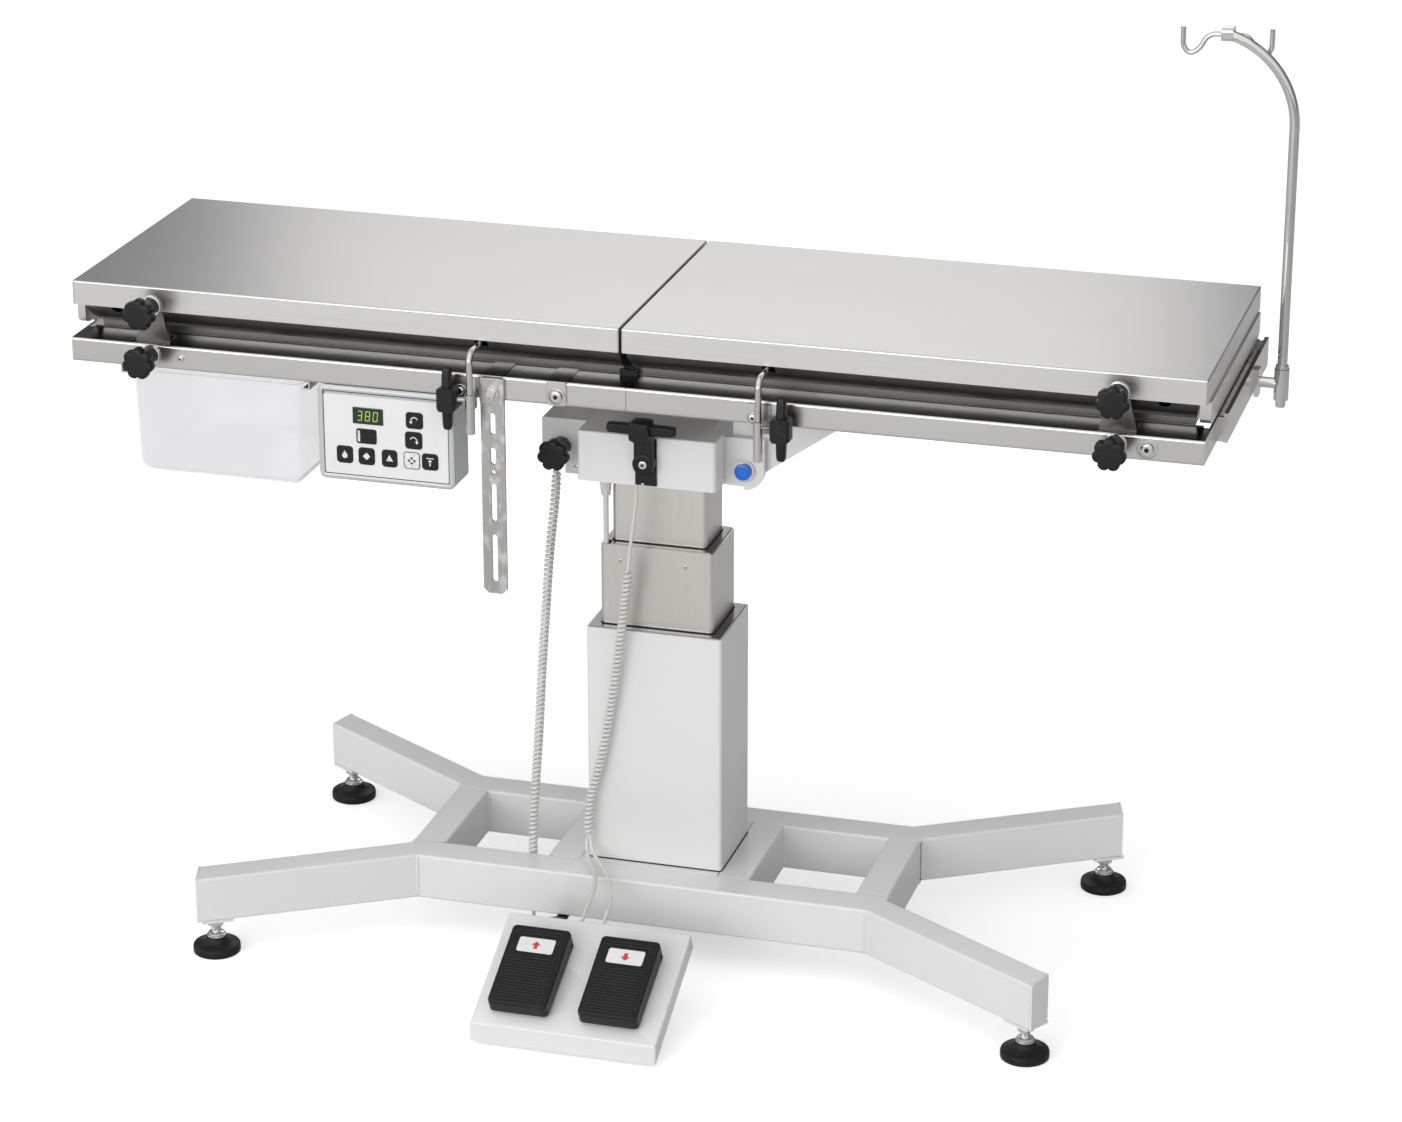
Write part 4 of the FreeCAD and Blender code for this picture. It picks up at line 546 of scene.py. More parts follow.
case_grey = finish("case_grey", case_grey_recipe,
                   {"Metallic": 0.25, "Coat Weight": 0.25, "Coat Roughness": 0.2})
keypad_film = finish("keypad_film", film_recipe)
dark_recipe = clouded(60.0, (0.004, 0.004, 0.005, 1), (0.008, 0.008, 0.009, 1), 0.06, 0.1, detail=4.0)
dark_glass = finish("dark_glass", dark_recipe, {"Coat Weight": 0.6, "Coat Roughness": 0.05})
white_print = finish("white_print", worn_print(420.0, 0.55, (0.45, 0.45, 0.45, 1), (0.8, 0.8, 0.8, 1), 0.45))
lit_segment = finish("lit_segment", lit_segment_recipe, {"Emission Strength": 0.8})
eased("control_case", 0.0015, case_grey, shortest=0.02)
painted(keypad_film, "control_panel")
case_low, case_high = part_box("control_case")
panel_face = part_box("control_panel")[0].y
case_outline = rounded((case_low.x, case_low.z), (case_high.x, case_high.z), 0.008)
rim_section = ((0.0, 0.001), (0.0, -0.0002), (-0.0008, -0.0012), (-0.0024, -0.0021), (-0.0042, -0.0024),
               (-0.0058, -0.0021), (-0.0068, -0.0014), (-0.007, 0.001))
groove_section = ((-0.0066, 0.0), (-0.0066, -0.00128), (-0.0078, -0.00128), (-0.0078, 0.0))
for name, section, material, slot in (("case_rim", rim_section, case_grey, "grey_plastic"),
                                      ("case_groove", groove_section, black_moulding, "black_plastic")):
    formed(name, [upright(case_outline, out, case_low.y + back) for out, back in section], material, "frame",
           closed=True)
back_outline = rounded((case_low.x + 0.001, case_low.z + 0.001), (case_high.x - 0.001, case_high.z - 0.005),
                       0.007)
back_section = ((-0.001, 0), (0.001, 0), (0.0016, -0.0004), (0.0018, -0.0012))
formed("case_back", [upright(back_outline, out, case_high.y + rise) for rise, out in back_section],
       case_grey, "frame")


def pad_on_panel(name, low, high, corner, proud, material):
    """A rounded pad standing on the keypad: corners in millimetres of x and z."""
    outline = rounded([value / 1000 for value in low], [value / 1000 for value in high], corner)
    top = panel_face - proud
    levels = ((0, panel_face + 0.0002), (0, top + 0.0003), (-0.0003, top + 0.00008), (-0.0008, top))
    formed(name, [upright(outline, *level) for level in levels], material, "frame")


def mark(shape, outlines, middle, size, lift):
    """Printed shapes on the keypad: outlines in halves of their size about their middle, in mm."""
    for outline in outlines:
        loft(shape, [[((middle[0] + across * size) / 1000, panel_face - lift + back,
                       (middle[1] + up * size) / 1000) for across, up in outline]
                     for back in (0.0002, -0.00008)])


def arc_band(start, end, inner, outer, steps=14):
    """Outline of a bent band between two angles in degrees."""
    angles = [math.radians(start + (end - start) * step / steps) for step in range(steps + 1)]
    return ([(outer * math.cos(angle), outer * math.sin(angle)) for angle in angles]
            + [(inner * math.cos(angle), inner * math.sin(angle)) for angle in reversed(angles)])


arc_arrow = (arc_band(20, 200, 0.62, 0.86), ((-1.14, -0.24), (-0.34, -0.24), (-0.74, -0.86)))
mirrored_arrow = tuple([(-across, up) for across, up in outline] for outline in arc_arrow)
drop = ([(0.0, 0.95)] + [(0.62 * math.cos(math.radians(angle)), -0.25 + 0.62 * math.sin(math.radians(angle)))
                         for angle in range(40, -221, -20)],)
diamond = (((0, 0.85), (0.85, 0), (0, -0.85), (-0.85, 0)),)
triangle = (((-0.8, -0.6), (0.8, -0.6), (0, 0.85)),)
lift_arrow = (((-0.8, 0.7), (0.8, 0.7), (0.8, 0.92), (-0.8, 0.92)), ((-0.5, 0.0), (0.5, 0.0), (0, 0.58)),
              ((-0.14, -0.9), (0.14, -0.9), (0.14, 0.05), (-0.14, 0.05)))
arrow_head = ((-0.42, 0.42), (0.42, 0.42), (0, 0.98))
four_way = tuple([(across * cosine - up * sine, across * sine + up * cosine) for across, up in arrow_head]
                 for cosine, sine in ((1, 0), (0, 1), (-1, 0), (0, -1)))
round_corner = 0.0045
keys = (("display", (-335, 710), (-296, 731), 0.0012, dark_glass, None),
        ("memory_key", (-331, 685), (-305, 704), 0.003, black_moulding, None),
        ("tilt_up_key", (-267, 710), (-245, 731), round_corner, black_moulding, arc_arrow),
        ("tilt_down_key", (-268.5, 684), (-246.5, 706), round_corner, black_moulding, mirrored_arrow),
        ("drain_key", (-357, 658), (-336, 680), round_corner, black_moulding, drop),
        ("level_key", (-329, 658), (-308, 680), round_corner, black_moulding, diamond),
        ("warm_key", (-299, 658), (-279, 680), round_corner, black_moulding, triangle),
        ("move_key", (-270, 659), (-251, 679), 0.0035, white_print, four_way),
        ("raise_key", (-247.5, 659), (-226.6, 680), round_corner, black_moulding, lift_arrow))
key_proud = 0.0009
pad_on_panel("move_key_border", (-271, 658), (-250, 680), 0.0042, 0.0005, black_moulding)
for name, low, high, corner, material, icon in keys:
    pad_on_panel(name, low, high, corner, key_proud, material)
    if icon:
        middle = ((low[0] + high[0]) / 2, (low[1] + high[1]) / 2)
        ink = black_moulding if material is white_print else white_print
        print_shape = bmesh.new()
        mark(print_shape, icon, middle, 5.6, key_proud)
        shown(name + "_mark", print_shape, ink, "frame")
square = ((-1, -1), (1, -1), (1, 1), (-1, 1))
dashes = [((-327.6, 694.5), 1.5, 7, key_proud)]
dashes += [(middle, 2.2, 0.5, 0) for middle in ((-343, 690), (-288, 721), (-274, 721))]
dashes += [((x, 652.5), 1.6, 0.5, 0) for x in (-346.5, -318.5, -289, -260.5, -237)]
small_marks = bmesh.new()
for middle, wide, tall, lift in dashes:
    mark(small_marks, ([(wide * across, tall * up) for across, up in square],), middle, 1, lift)
shown("keypad_marks", small_marks, white_print, "frame")

middle_bar = ((-0.34, 0.0), (-0.27, 0.07), (0.27, 0.07), (0.34, 0.0), (0.27, -0.07), (-0.27, -0.07))
level_bar = ((-0.4, 0.9), (0.4, 0.9), (0.28, 0.76), (-0.28, 0.76))
side_bar = ((0.44, 0.86), (0.44, 0.05), (0.36, 0.0), (0.31, 0.08), (0.31, 0.73))
segment_bars = {name: [(sx * across, sy * up) for across, up in segment] for name, segment, sx, sy in
                (("top", level_bar, 1, 1), ("middle", middle_bar, 1, 1), ("bottom", level_bar, 1, -1),
                 ("upper_right", side_bar, 1, 1), ("lower_right", side_bar, 1, -1),
                 ("upper_left", side_bar, -1, 1), ("lower_left", side_bar, -1, -1))}
three = ("top", "middle", "bottom", "upper_right", "lower_right")
figures = (three, tuple(segment_bars), tuple(name for name in segment_bars if name != "middle"))
digits = bmesh.new()
for place, lit in enumerate(figures):
    slanted = [[(across + 0.1 * up, up) for across, up in segment_bars[name]] for name in lit]
    mark(digits, slanted, (-325.8 + 10.0 * place, 720.5), 7.0, key_proud)
shown("display_digits", digits, lit_segment, "frame", crease=20)


# Side bin. Clear plastic, vacuum formed with drawn walls, a rolled rim and a rounded floor corner,
# hung on two steel runners beside the control box.

def clear_plastic_recipe(start):
    # Painted shade: walls seen edge-on are painted a darker grey and made more opaque, for the grey outlines
    # along the bin's edges.
    edge = start.band(start.node("ShaderNodeLayerWeight", sockets={"Blend": 0.5}, out="Facing"), 0.72, 1.0)
    haze = start.grain(22.0, detail=3.0)
    return {"Base Color": start.mix(edge, (0.5, 0.5, 0.54, 1), (0.3, 0.3, 0.32, 1)),
            "Roughness": 0.05 + 0.06 * haze,
            "Alpha": 0.13 + 0.03 * haze + 0.6 * edge}


clear_plastic = finish("clear_plastic", clear_plastic_recipe,
                       {"IOR": 1.46, "Coat Weight": 0.3, "Coat Roughness": 0.04})
bin_top = ((-0.628, -0.187), (-0.406, 0.02))
bin_foot = ((-0.625, -0.184), (-0.41, 0.015))
bin_floor, bin_mouth = 0.6135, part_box("storage_bin")[1].z
bin_corner, floor_round, floor_inset, bin_wall = 0.01, 0.017, 0.03, 0.002


def bin_ring(z, out):
    """One level of the bin: its rounded outline at height z, moved out by that much."""
    share = (bin_mouth - z) / (bin_mouth - bin_floor)
    low, high = [[top + (foot - top) * share for top, foot in zip(*corners)]
                 for corners in zip(bin_top, bin_foot)]
    low, high = [value - out for value in low], [value + out for value in high]
    return [(*spot, z) for spot, way in rounded(low, high, max(0.001, bin_corner + out), steps=8)]


def bin_curve(radius, floor, out):
    """Levels of the bin from its floor up round the fillet to its wall."""
    angles = [math.pi / 2 * step / 8 for step in range(9)]
    return [bin_ring(floor + radius * (1 - math.cos(angle)), out - radius * (1 - math.sin(angle)))
            for angle in angles]


bin_rim = ((0.003, 0.0), (0.003, 0.0042), (0.0008, 0.005), (0, 0.0042))
bin_inside = bin_floor + bin_wall
outer = [bin_ring(bin_floor, -floor_inset), *bin_curve(floor_round, bin_floor, 0.0),
         *(bin_ring(bin_mouth - down, out) for down, out in bin_rim)]
inner = [bin_ring(bin_inside, -floor_inset), *bin_curve(floor_round - bin_wall, bin_inside, -bin_wall),
         bin_ring(bin_mouth, -bin_wall)]
formed("bin_formed", outer + inner[::-1], clear_plastic, "bin", ("storage_bin",), crease=50)


# Hanging bar. A flat stainless strip with a row of cut slots, hung on a square headed bolt below the
# front rail, its face scuffed where hooks have rubbed it.

def scuffed_steel_recipe(start):
    streak = start.grain(300.0, (3.0, 3.0, 0.04), detail=2.0)
    scuff = start.band(start.grain(120.0, (1.0, 1.0, 0.5), detail=5.0), 0.5, 0.66)
    return {"Base Color": start.mix(scuff, (0.5, 0.485, 0.465, 1), (0.64, 0.63, 0.615, 1)),
            "Roughness": 0.22 + 0.12 * streak + 0.12 * scuff,
            "Normal": start.bump(0.7 * streak + 0.3 * scuff, 0.00003)}


scuffed_steel = finish("scuffed_steel", scuffed_steel_recipe, {"Metallic": 1.0})
painted(scuffed_steel, "slotted_bar")
bar_low, bar_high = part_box("slotted_bar")
pad_front, bolt_x, bolt_z, bolt_reach = -0.2046, -0.156, 0.767, 0.0078
outline = rounded((bar_low.x - 0.0003, 0.7515), (bar_high.x + 0.0003, 0.7845), 0.004)
pad_levels = ((-0.1995, 0), (-0.204, 0), (pad_front, -0.0006))
formed("bar_pad", [upright(outline, out, y) for y, out in pad_levels], scuffed_steel, "hanging_bar",
       crease=30)
turned("bar_washer", [(rise, share * 0.0092) for rise, share in washer], (bolt_x, pad_front, bolt_z),
       bright_steel, "hanging_bar", crease=50, axis=forward)
corners = [(bolt_reach * math.cos(math.radians(angle)), bolt_reach * math.sin(math.radians(angle)))
           for angle in range(25, 385, 90)]
formed("bar_bolt", [[(bolt_x + across * share, y, bolt_z + up * share) for across, up in corners]
                    for y, share in ((-0.2055, 1.0), (-0.2094, 1.0), (-0.2102, 0.88))],
       bright_steel, "hanging_bar", crease=30)


# Accessory rail and infusion pole. A flat rail bolted across the right end, a turned socket arm on it,
# and a bright round pole bent over at the top with two hooks of wire.

mirror_recipe = clouded(30.0, (0.56, 0.55, 0.545, 1), (0.68, 0.67, 0.665, 1), 0.06, 0.08, detail=3.0)
mirror_steel = finish("mirror_steel", mirror_recipe, {"Metallic": 1.0})
painted(ground_steel, "accessory_rail")
painted(mirror_steel, "pole_socket", "infusion_pole")


# Under-pans and leaves. Pans pressed from sheet with a deep curved belly, and over each a flat leaf
# with folded edges, all of them brushed along their length.

def brushed_steel_recipe(start):
    streak = start.grain(170.0, (0.025, 3.0, 3.0), detail=3.0)
    fine = start.grain(800.0, (0.02, 3.0, 3.0), detail=1.0)
    cloud = start.grain(3.0, (0.5, 1.5, 1.5), detail=2.0)
    tone = 0.5 * cloud + 0.3 * streak + 0.2 * fine
    return {"Base Color": start.mix(tone, (0.6, 0.59, 0.578, 1), (0.74, 0.73, 0.717, 1)),
            "Roughness": 0.24 + 0.12 * streak + 0.05 * cloud,
            "Normal": start.bump(0.5 * fine + 0.5 * streak, 0.00003)}


brushed_steel = finish("brushed_steel", brushed_steel_recipe, {"Metallic": 1.0})
painted(brushed_steel, "leaf_left", "leaf_right", "pan_left", "pan_right")


# Pan ends. Each pan has a black profile on its edge at the seam, its black a painted shade for the dark gap
# there, and at its outer end a folded steel apron, which closes the gap between the leaf and the end of the
# frame.

def across_table(x, half):
    """Ring at x through the points (y, z) of a profile's rear half and their mirror images."""
    return [(x, y, z) for y, z in half] + [(x, -y, z) for y, z in reversed(half)]


half_shade_strip = ((0.17, 0.8245), (0.17, 0.818), (0.164, 0.806), (0.152, 0.797), (0.14, 0.7885))
half_end = ((0.178, 0.8262), (0.178, 0.806), (0.176, 0.802), (0.17, 0.7985), (0.164, 0.7972))
half_fold = ((0.1455, 0.798), (0.144, 0.7925), (0.14, 0.79))
end_near, fold_far = 0.6895, 0.6955
for name, side in (("left", -1), ("right", 1)):
    formed("centre_seal_" + name, [across_table(side * x, half_shade_strip) for x in (0.0018, 0.0062)],
           black_moulding, "section_" + name[0], crease=30)
for name, side, end_far in (("left", -1, 0.6995), ("right", 1, 0.7025)):
    end = bmesh.new()
    loft(end, [across_table(side * x, half_end) for x in (end_near, end_far)])
    loft(end, [across_table(side * x, half_fold) for x in (end_near, fold_far)])
    shown("pan_end_" + name, end, brushed_steel, "section_" + name[0], crease=30)


# Lifting rods and their wing screws. Bent bright rods run down through the guide blocks, and a moulded
# wing screw with a steel stud pinches each of them.

painted(mirror_steel, "rod_left", "rod_right")
wing_near, wing_middle, thread_step = 0.1938, 0.0125, 0.0005
hub_levels = ((0, 0.0072, 0.0115), (0.0035, 0.01, 0.0148), (0.0205, 0.01, 0.0148), (0.024, 0.0075, 0.0118))
grip_levels = ((0.006, 0.006, 0.007), (0.018, 0.0058, 0.0062), (0.028, 0.0056, 0.0055),
               (0.0355, 0.0052, 0.005), (0.0385, 0.004, 0.0038), (0.039, 0.003, 0.0028))
octagon = ((-1, -0.6), (-0.6, -1), (0.6, -1), (1, -0.6), (1, 0.6), (0.6, 1), (-0.6, 1), (-1, 0.6))
for side, name in ((-1, "left"), (1, "right")):
    low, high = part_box("wing_" + name)
    near = side * min(abs(low.x), abs(high.x))
    spot = Vector((near, (low.y + high.y) / 2, (low.z + high.z) / 2))
    inner = side * wing_near
    centre = inner + side * wing_middle
    wing = bmesh.new()
    loft(wing, [[(inner + side * out, spot.y + sy * deep, spot.z + sz * tall) for sy, sz in square]
                for out, deep, tall in hub_levels])
    for way in (-1, 1):
        loft(wing, [[(centre + sx * thick, spot.y + sy * deep, spot.z + way * tall) for sx, sy in octagon]
                    for tall, thick, deep in grip_levels])
    shown("wing_moulded_" + name, wing, black_moulding, body_of["wing_" + name],
          ("wing_" + name,), crease=25)
    first, last = sorted((near, inner + side * 0.001), key=abs)
    long = abs(last - first)
    count = int(long / thread_step)
    stud_thread = [(long * step / count, 0.003 if step % 2 else 0.0026) for step in range(count + 1)]
    turned("wing_stud_" + name, stud_thread, (first, spot.y, spot.z), mirror_steel, body_of["wing_" + name],
           axis=(side, 0, 0), steps=20)


# Star knobs. Moulded in satin black with seven broad lobes and a domed face, each on a plated flange
# and stud: four lock the table's sections and one locks the tilt.

def star_outline(reach, steps=112):
    """Seven lobes round a circle, the first one at the top."""
    outline = []
    for step in range(steps):
        angle = 2 * math.pi * step / steps
        radius = (0.0161 + 0.0039 * abs(math.cos(3.5 * angle)) ** 0.7) * reach
        outline.append((radius * math.sin(angle), radius * math.cos(angle)))
    return outline


knob_spots = (("knob_upper_left", -0.597, -0.19, 0.832), ("knob_upper_right", 0.597, -0.19, 0.832),
              ("knob_lower_left", -0.597, -0.199, 0.773), ("knob_lower_right", 0.597, -0.199, 0.773),
              ("tilt_knob", -0.109, -0.078, 0.662))
star_levels = ((0.029, 0.8), (0.0293, 0.93), (0.0305, 0.985), (0.032, 1.0), (0.0388, 1.0), (0.0406, 0.985),
               (0.0419, 0.945), (0.0426, 0.88), (0.0429, 0.78), (0.043, 0.6), (0.04305, 0.35), (0.0431, 0.1))
neck_profile = ((0.003, 0.0092), (0.0036, 0.0098), (0.02, 0.0088), (0.029, 0.0092), (0.03, 0.0098))
flange_profile = ((0.0003, 0.0118), (0.0008, 0.013), (0.0026, 0.013), (0.0033, 0.0122), (0.0035, 0.0096))
for node, x, seat, z in knob_spots:
    knob = bmesh.new()
    loft(knob, [[(x + across, seat - back, z + up) for across, up in star_outline(reach)]
                for back, reach in star_levels])
    lathe(knob, neck_profile, (x, seat, z), forward)
    shown(node + "_moulded", knob, black_moulding, body_of[node], (node,), crease=45)
    turned(node + "_flange", flange_profile, (x, seat, z), bright_steel, body_of[node], crease=30,
           axis=forward)


# Foot switch. A white moulded ramp on small feet with two hinged black pedals, ribbed for grip and
# inlaid with a white plate and a printed arrow, held to the base by a black steel strip.

slope = math.radians(26.5)
slope_y, slope_z = -402, 28


def on_slope(x, along, above):
    """Point of the ramp: x, distance up the slope and height over it, in millimetres."""
    return (x / 1000, (slope_y + along * math.cos(slope) - above * math.sin(slope)) / 1000,
            (slope_z + along * math.sin(slope) + above * math.cos(slope)) / 1000)


def slope_level(outline, above, inset=0):
    """Ring of an outline laid on the ramp at a height over it, drawn in by inset."""
    return [on_slope(*(spot - way * inset), above) for spot, way in outline]


red_print = finish("red_print", worn_print(300.0, 0.6, (0.55, 0.06, 0.05, 1), (0.62, 0.03, 0.03, 1), 0.4))
label_recipe = clouded(30.0, (0.7, 0.7, 0.69, 1), (0.8, 0.8, 0.79, 1), 0.32, 0.1, detail=3.0)
white_label = finish("white_label", label_recipe)
tray_long = 174


def tray_foot(spot):
    """Point of the tray's lower edge, below a point of its sloping top."""
    x, y, z = on_slope(*spot, 0)
    return (x, y + 0.0098 * spot.y / tray_long, z - 0.0235 + 0.003 * spot.y / tray_long)


tray_outline = rounded((-131, 0), (104, tray_long), 3)
tray_levels = ((-3.0, 0), (-1.4, 0.4), (-0.4, 1.4), (0, 3.0))
tray = bmesh.new()
loft(tray, [[tray_foot(spot) for spot, way in tray_outline],
            *(slope_level(tray_outline, above, inset) for above, inset in tray_levels)])
for x in (-0.117, 0.09):
    lathe(tray, ((0, 0.0062), (0.0006, 0.007), (0.016, 0.007)), (x, -0.3835, 0), steps=32)
shown("pedal_tray", tray, powder_coat, "base", ("pedal_base",), crease=50)
eased("pedal_arm", 0.0008, black_moulding, shortest=0.01)
painted(black_moulding, "pedal_switch")
cap_foot, cap_long, plate_middle = 18, 120, 108.5
cap_levels = ((21.0, 0), (24.0, 0.4), (25.0, 1.2), (25.5, 2.6))
rib_levels = ((25.2, 0), (25.95, 0), (26.4, 0.45))
arrow = ((-6, 0), (0, 6), (6, 0), (2.4, 0), (2.4, -5.5), (-2.4, -5.5), (-2.4, 0))
for node, middle, way in (("pedal_raise", -73, 1), ("pedal_lower", 41, -1)):
    cap_outline = rounded((middle - 37.5, cap_foot), (middle + 37.5, cap_foot + cap_long), 6)
    cap_under = [on_slope(*spot, 6.5 - 5.5 * (spot.y - cap_foot) / cap_long) for spot, out in cap_outline]
    cap_upper = [slope_level(cap_outline, above, inset) for above, inset in cap_levels]
    formed(node + "_cap", [cap_under, *cap_upper], black_moulding, body_of[node], (node,),
           crease=50)
    ribs = bmesh.new()
    for along in (*(25 + 4.6 * step for step in range(15)), 126, 130):
        loft(ribs, [[on_slope(middle + across * (31 - inset), along + up * (1.1 - inset), above)
                     for across, up in square] for above, inset in rib_levels])
    shown(node + "_ribs", ribs, black_moulding, body_of[node], crease=25)
    plate_outline = rounded((middle - 23, plate_middle - 11), (middle + 23, plate_middle + 11), 3)
    formed(node + "_plate", [slope_level(plate_outline, above) for above in (25.3, 25.95)], white_label,
           body_of[node])
    arrow_rings = [[on_slope(middle + across, plate_middle + way * up, above) for across, up in arrow]
                   for above in (25.8, 26.05)]
    formed(node + "_arrow", arrow_rings, red_print, body_of[node])



# Cords. Curly cords wound from a milky plastic sheathed cable, which stretch as the head rises, with
# straight tails to the foot switch, and a short plain cable from the gland down into the column.

sheath_recipe = clouded(35.0, (0.6, 0.6, 0.575, 1), (0.7, 0.7, 0.68, 1), 0.28, 0.12, relief=600.0)
cord_sheath = finish("cord_sheath", sheath_recipe,
                     {"Subsurface Weight": 0.12, "Subsurface Scale": 0.002, "Coat Weight": 0.2})
wire, coil_radius, coil_pitch = 0.0048, 0.0038, 0.0062
turn_steps, fade_steps = 12, 9


def smooth_curve(name, points, radius=0.0, sides=2):
    """Curve of one smooth spline drawn by its control points."""
    curve = bpy.data.curves.new(name, "CURVE")
    curve.dimensions = "3D"
    curve.bevel_depth = radius
    curve.bevel_resolution = sides
    curve.use_fill_caps = True
    spline = curve.splines.new("NURBS")
    spline.points.add(len(points) - 1)
    for place, spot in zip(spline.points, points):
        place.co = (*spot, 1)
    spline.order_u = 3
    spline.use_endpoint_u = True
    spline.resolution_u = 3 if len(points) > 100 else 16
    return curve


def read_back(curve):
    """The mesh that a curve makes: for one without thickness, its points in order."""
    holder = bpy.data.objects.new(curve.name, curve)
    bpy.context.collection.objects.link(holder)
    mesh = bpy.data.meshes.new_from_object(holder)
    bpy.data.objects.remove(holder)
    return mesh


def wound(points):
    """Points of a helix that winds along a route, a dozen to each turn, starting and ending on it."""
    line = [vert.co.copy() for vert in read_back(smooth_curve("route", points)).vertices]
    lengths = [0.0]
    for here, after in zip(line, line[1:]):
        lengths.append(lengths[-1] + (after - here).length)
    count = round(lengths[-1] / coil_pitch) * turn_steps
    side = Vector((1, 0, 0))
    helix = []
    place = 0
    for step in range(count + 1):
        along = lengths[-1] * step / count
        while place < len(line) - 2 and lengths[place + 1] < along:
            place += 1
        share = (along - lengths[place]) / (lengths[place + 1] - lengths[place])
        ahead = (line[place + 1] - line[place]).normalized()
        side = (side - ahead * side.dot(ahead)).normalized()
        across = ahead.cross(side)
        angle = 2 * math.pi * step / turn_steps
        reach = coil_radius * min(1.0, step / fade_steps, (count - step) / fade_steps)
        helix.append(line[place].lerp(line[place + 1], share)
                     + (side * math.cos(angle) + across * math.sin(angle)) * reach)
    return helix


def cord_mesh(name, points, stands_for, span=()):
    """Sheathed cable along points, as a mesh that rides on the base or, when a span is given, stays in place
    on no body.
    """
    mesh = read_back(smooth_curve(name, points, wire / 2))
    mesh.materials.clear()
    mesh.materials.append(cord_sheath)
    mesh.shade_smooth()
    piece = bpy.data.objects.new(name, mesh)
    bpy.context.collection.objects.link(piece)
    if span:
        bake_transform(piece)
    else:
        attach(piece, "base")
    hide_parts(stands_for)
    path = [vert.co.copy() for vert in read_back(smooth_curve(name + "_line", points)).vertices]
    return piece, path


left_route = ((-0.122, -0.064, 0.624), (-0.122, -0.064, 0.6), (-0.131, -0.067, 0.52), (-0.136, -0.07, 0.44),
              (-0.142, -0.071, 0.36), (-0.146, -0.073, 0.28), (-0.152, -0.074, 0.2), (-0.156, -0.076, 0.13),
              (-0.156, -0.076, 0.076))
left_tail = ((-0.156, -0.076, 0.056), (-0.154, -0.084, 0.032), (-0.147, -0.103, 0.016),
             (-0.138, -0.13, 0.009), (-0.126, -0.165, 0.008), (-0.112, -0.205, 0.008),
             (-0.098, -0.243, 0.011), (-0.09, -0.272, 0.027), (-0.086, -0.2912, 0.0615))
left_lead = ((-0.122, -0.064, 0.64), (-0.122, -0.064, 0.632))
left_points = [*map(Vector, left_lead), *wound(left_route), *map(Vector, left_tail)]
left_cord, left_path = cord_mesh("curly_cord_left", left_points, "cord_left",
                                 ((-0.156, -0.076, 0.076), (-0.156, -0.076, 0.64)))
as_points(left_path)

right_lead = ((-0.01, -0.092, 0.6349), (-0.01, -0.092, 0.61), (-0.015, -0.0935, 0.57),
              (-0.02, -0.094, 0.528))
right_route = ((-0.021, -0.094, 0.514), (-0.026, -0.092, 0.47), (-0.034, -0.089, 0.41),
               (-0.043, -0.086, 0.35), (-0.053, -0.084, 0.29), (-0.063, -0.084, 0.24),
               (-0.078, -0.087, 0.19), (-0.078, -0.087, 0.148))
right_tail = ((-0.081, -0.087, 0.134), (-0.075, -0.099, 0.1225), (-0.064, -0.118, 0.1185),
              (-0.052, -0.14, 0.1165), (-0.044, -0.168, 0.114), (-0.04, -0.198, 0.1115),
              (-0.04, -0.222, 0.1066), (-0.04, -0.2445, 0.0954))
right_points = [*map(Vector, right_lead), *wound(right_route), *map(Vector, right_tail)]
right_cord, right_path = cord_mesh("curly_cord_right", right_points, "cord_right",
                                   ((-0.078, -0.087, 0.148), (-0.078, -0.087, 0.635)))
branch = ((-0.0755, -0.087, 0.1479), (-0.0755, -0.087, 0.134), (-0.066, -0.1, 0.124), (-0.05, -0.118, 0.12),
          (-0.036, -0.14, 0.118), (-0.024, -0.168, 0.1155), (-0.014, -0.198, 0.1115),
          (-0.012, -0.222, 0.1066), (-0.012, -0.2445, 0.0954))
branch_cord, branch_path = cord_mesh("cord_branch", branch, "cord_tails")
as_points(right_path)
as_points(branch_path)

short_route = ((-0.0615, -0.0535, 0.6157), (-0.0615, -0.0535, 0.52), (-0.0615, -0.0535, 0.41),
               (-0.0615, -0.0535, 0.3))
short_wire = 0.00688
short_curve = smooth_curve("column_cable", short_route, short_wire / 2, 3)
short_curve.materials.append(cord_sheath)
column_cable = bpy.data.objects.new("column_cable", short_curve)
bpy.context.collection.objects.link(column_cable)
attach(column_cable, "head")
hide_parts("cord_short")


# Studio. A plain pale floor that looks white to the lens and grey in the steel, a softbox overhead, a
# key from the front left, a bright card behind that the leaves mirror, and the photographer's camera.

def floor_shader(start, white, glow, cloud):
    """Matt floor of about that whiteness, with a little light of its own."""
    brighter = white + 0.02
    tone = start.mix(cloud, (white, white, white, 1), (brighter, brighter, brighter, 1))
    own_light = {"Emission Color": (1, 1, 1, 1), "Emission Strength": glow}
    return start.node("ShaderNodeBsdfPrincipled", sockets={"Base Color": tone, "Roughness": 0.85,
            "Specular IOR Level": 0.1, **own_light})


floor_paint = bpy.data.materials.new("floor_paint")
floor_paint.use_nodes = True
floor_paint.node_tree.nodes.clear()
floor_start = Shade(floor_paint.node_tree)
floor_cloud = floor_start.grain(0.8)
seen = floor_start.node("ShaderNodeLightPath", out="Is Camera Ray")
floor_in_steel = floor_shader(floor_start, 0.68, 0.0, floor_cloud)
floor_in_lens = floor_shader(floor_start, 0.8, 0.48, floor_cloud)
floor_surface = floor_start.node("ShaderNodeMixShader",
                                 sockets={0: seen, 1: floor_in_steel, 2: floor_in_lens})
floor_start.node("ShaderNodeOutputMaterial", sockets={"Surface": floor_surface})
floor_shape = bmesh.new()
floor_reach = 30
floor_shape.faces.new([floor_shape.verts.new((floor_reach * across, floor_reach * up, 0))
                       for across, up in square])
floor_mesh = bpy.data.meshes.new("studio_floor")
floor_shape.to_mesh(floor_mesh)
floor_shape.free()
floor_mesh.materials.append(floor_paint)
studio_floor = bpy.data.objects.new("studio_floor", floor_mesh)
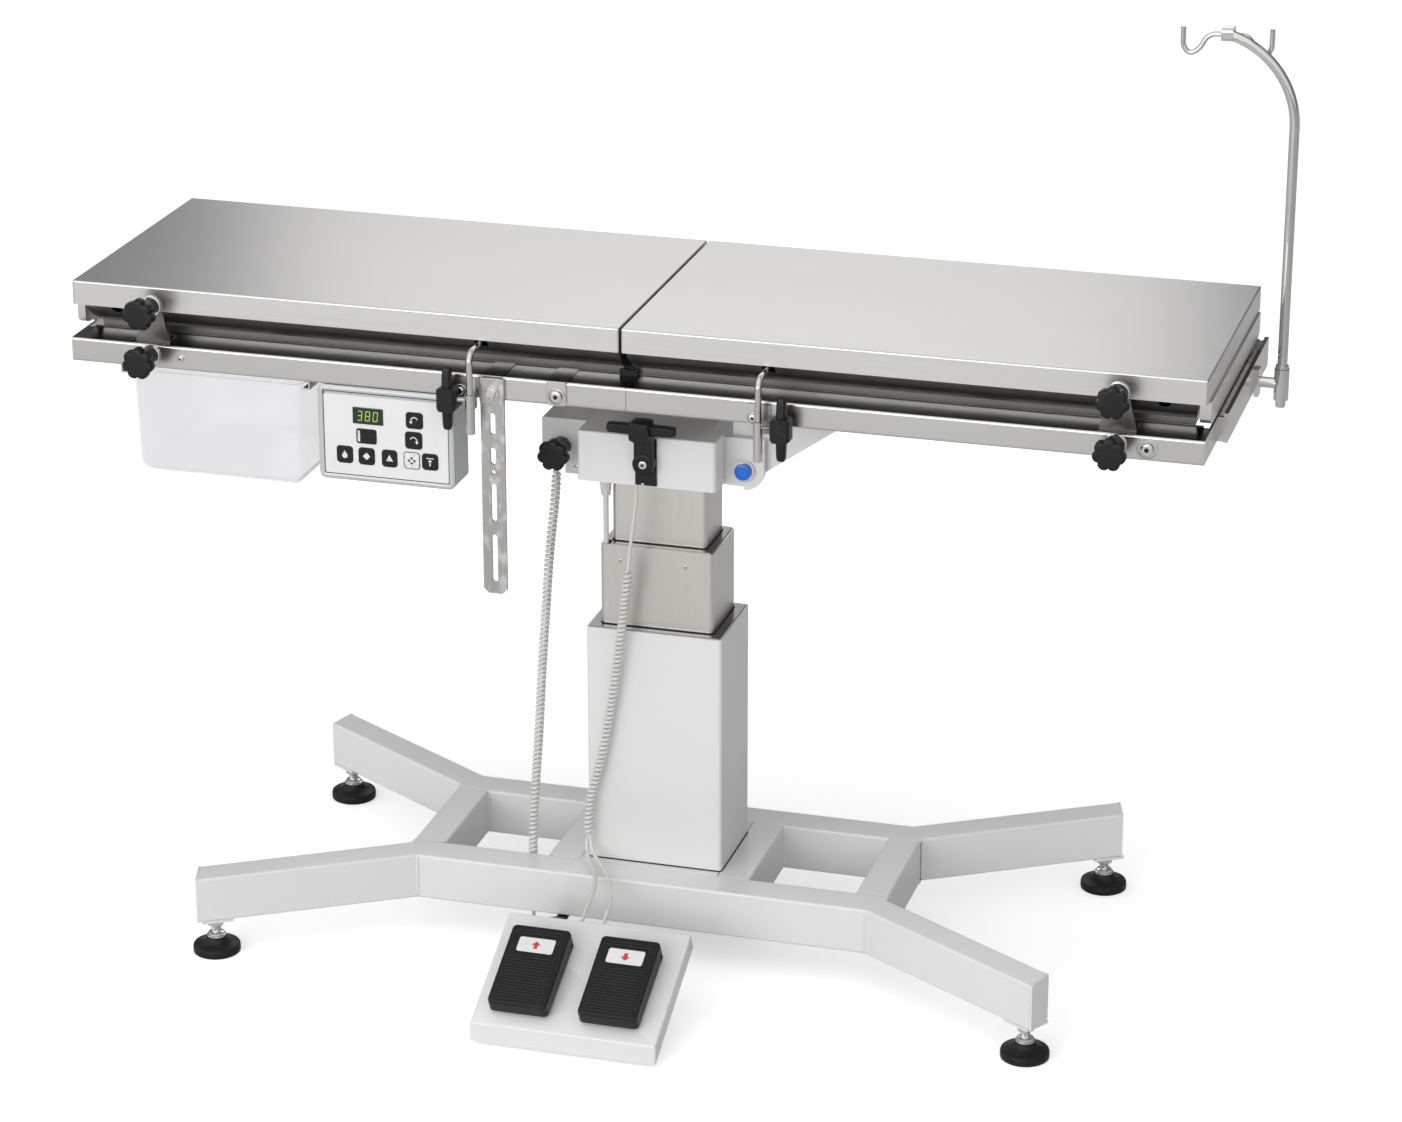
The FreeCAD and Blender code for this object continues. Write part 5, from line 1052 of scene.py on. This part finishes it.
bpy.context.collection.objects.link(studio_floor)

world = bpy.data.worlds.new("studio")
world.use_nodes = True
world.node_tree.nodes.clear()
sky = Shade(world.node_tree)
facing = sky.node("ShaderNodeTexCoord", out="Generated")
towards_key = sky.node("ShaderNodeVectorMath", {"operation": "DOT_PRODUCT"},
                       {0: facing, 1: (-0.22, -0.94, 0.26)}, out="Value")
glow = sky.node("ShaderNodeValToRGB", {"stops": ((0.0, (0.2, 0.2, 0.21, 1)), (0.42, (0.3, 0.3, 0.31, 1)),
                                                 (0.7, (1.0, 1.0, 1.0, 1)), (1.0, (1.35, 1.35, 1.35, 1)))},
                {0: 0.5 * towards_key + 0.5})
paper = sky.mix(sky.node("ShaderNodeLightPath", out="Is Camera Ray"), glow, (1.2, 1.2, 1.2, 1))
backdrop = sky.node("ShaderNodeBackground", sockets={"Color": paper, "Strength": 0.9})
sky.node("ShaderNodeOutputWorld", sockets={"Surface": backdrop})
bpy.context.scene.world = world

for name, spot, aim, wide, tall, power in (("ceiling", (0.0, -0.3, 3.6), (0, 0, 0.5), 4.0, 4.0, 16.0),
                                           ("key", (-1.2, -4.6, 1.5), (0, 0, 0.5), 3.0, 1.8, 57.0),
                                           ("card", (-0.8, 3.1, 2.35), (-0.35, 0, 0.9), 2.0, 1.3, 10.5)):
    light = bpy.data.lights.new(name, "AREA")
    light.shape = "RECTANGLE"
    light.size = wide
    light.size_y = tall
    light.energy = power
    lamp = bpy.data.objects.new(name, light)
    lamp.location = spot
    lamp.rotation_euler = (Vector(aim) - Vector(spot)).to_track_quat("-Z", "Y").to_euler()
    lamp.visible_camera = False
    bpy.context.collection.objects.link(lamp)

lens = bpy.data.cameras.new("photographer")
lens.sensor_width = 36.0
lens.lens = 108.08
camera = bpy.data.objects.new("photographer", lens)
camera.location = (1.4025, -4.7087, 2.3722)
camera.rotation_euler = (math.radians(69.07), 0.0, math.radians(16.08))
bpy.context.collection.objects.link(camera)
bpy.context.scene.camera = camera
bpy.context.scene.view_settings.view_transform = "Standard"
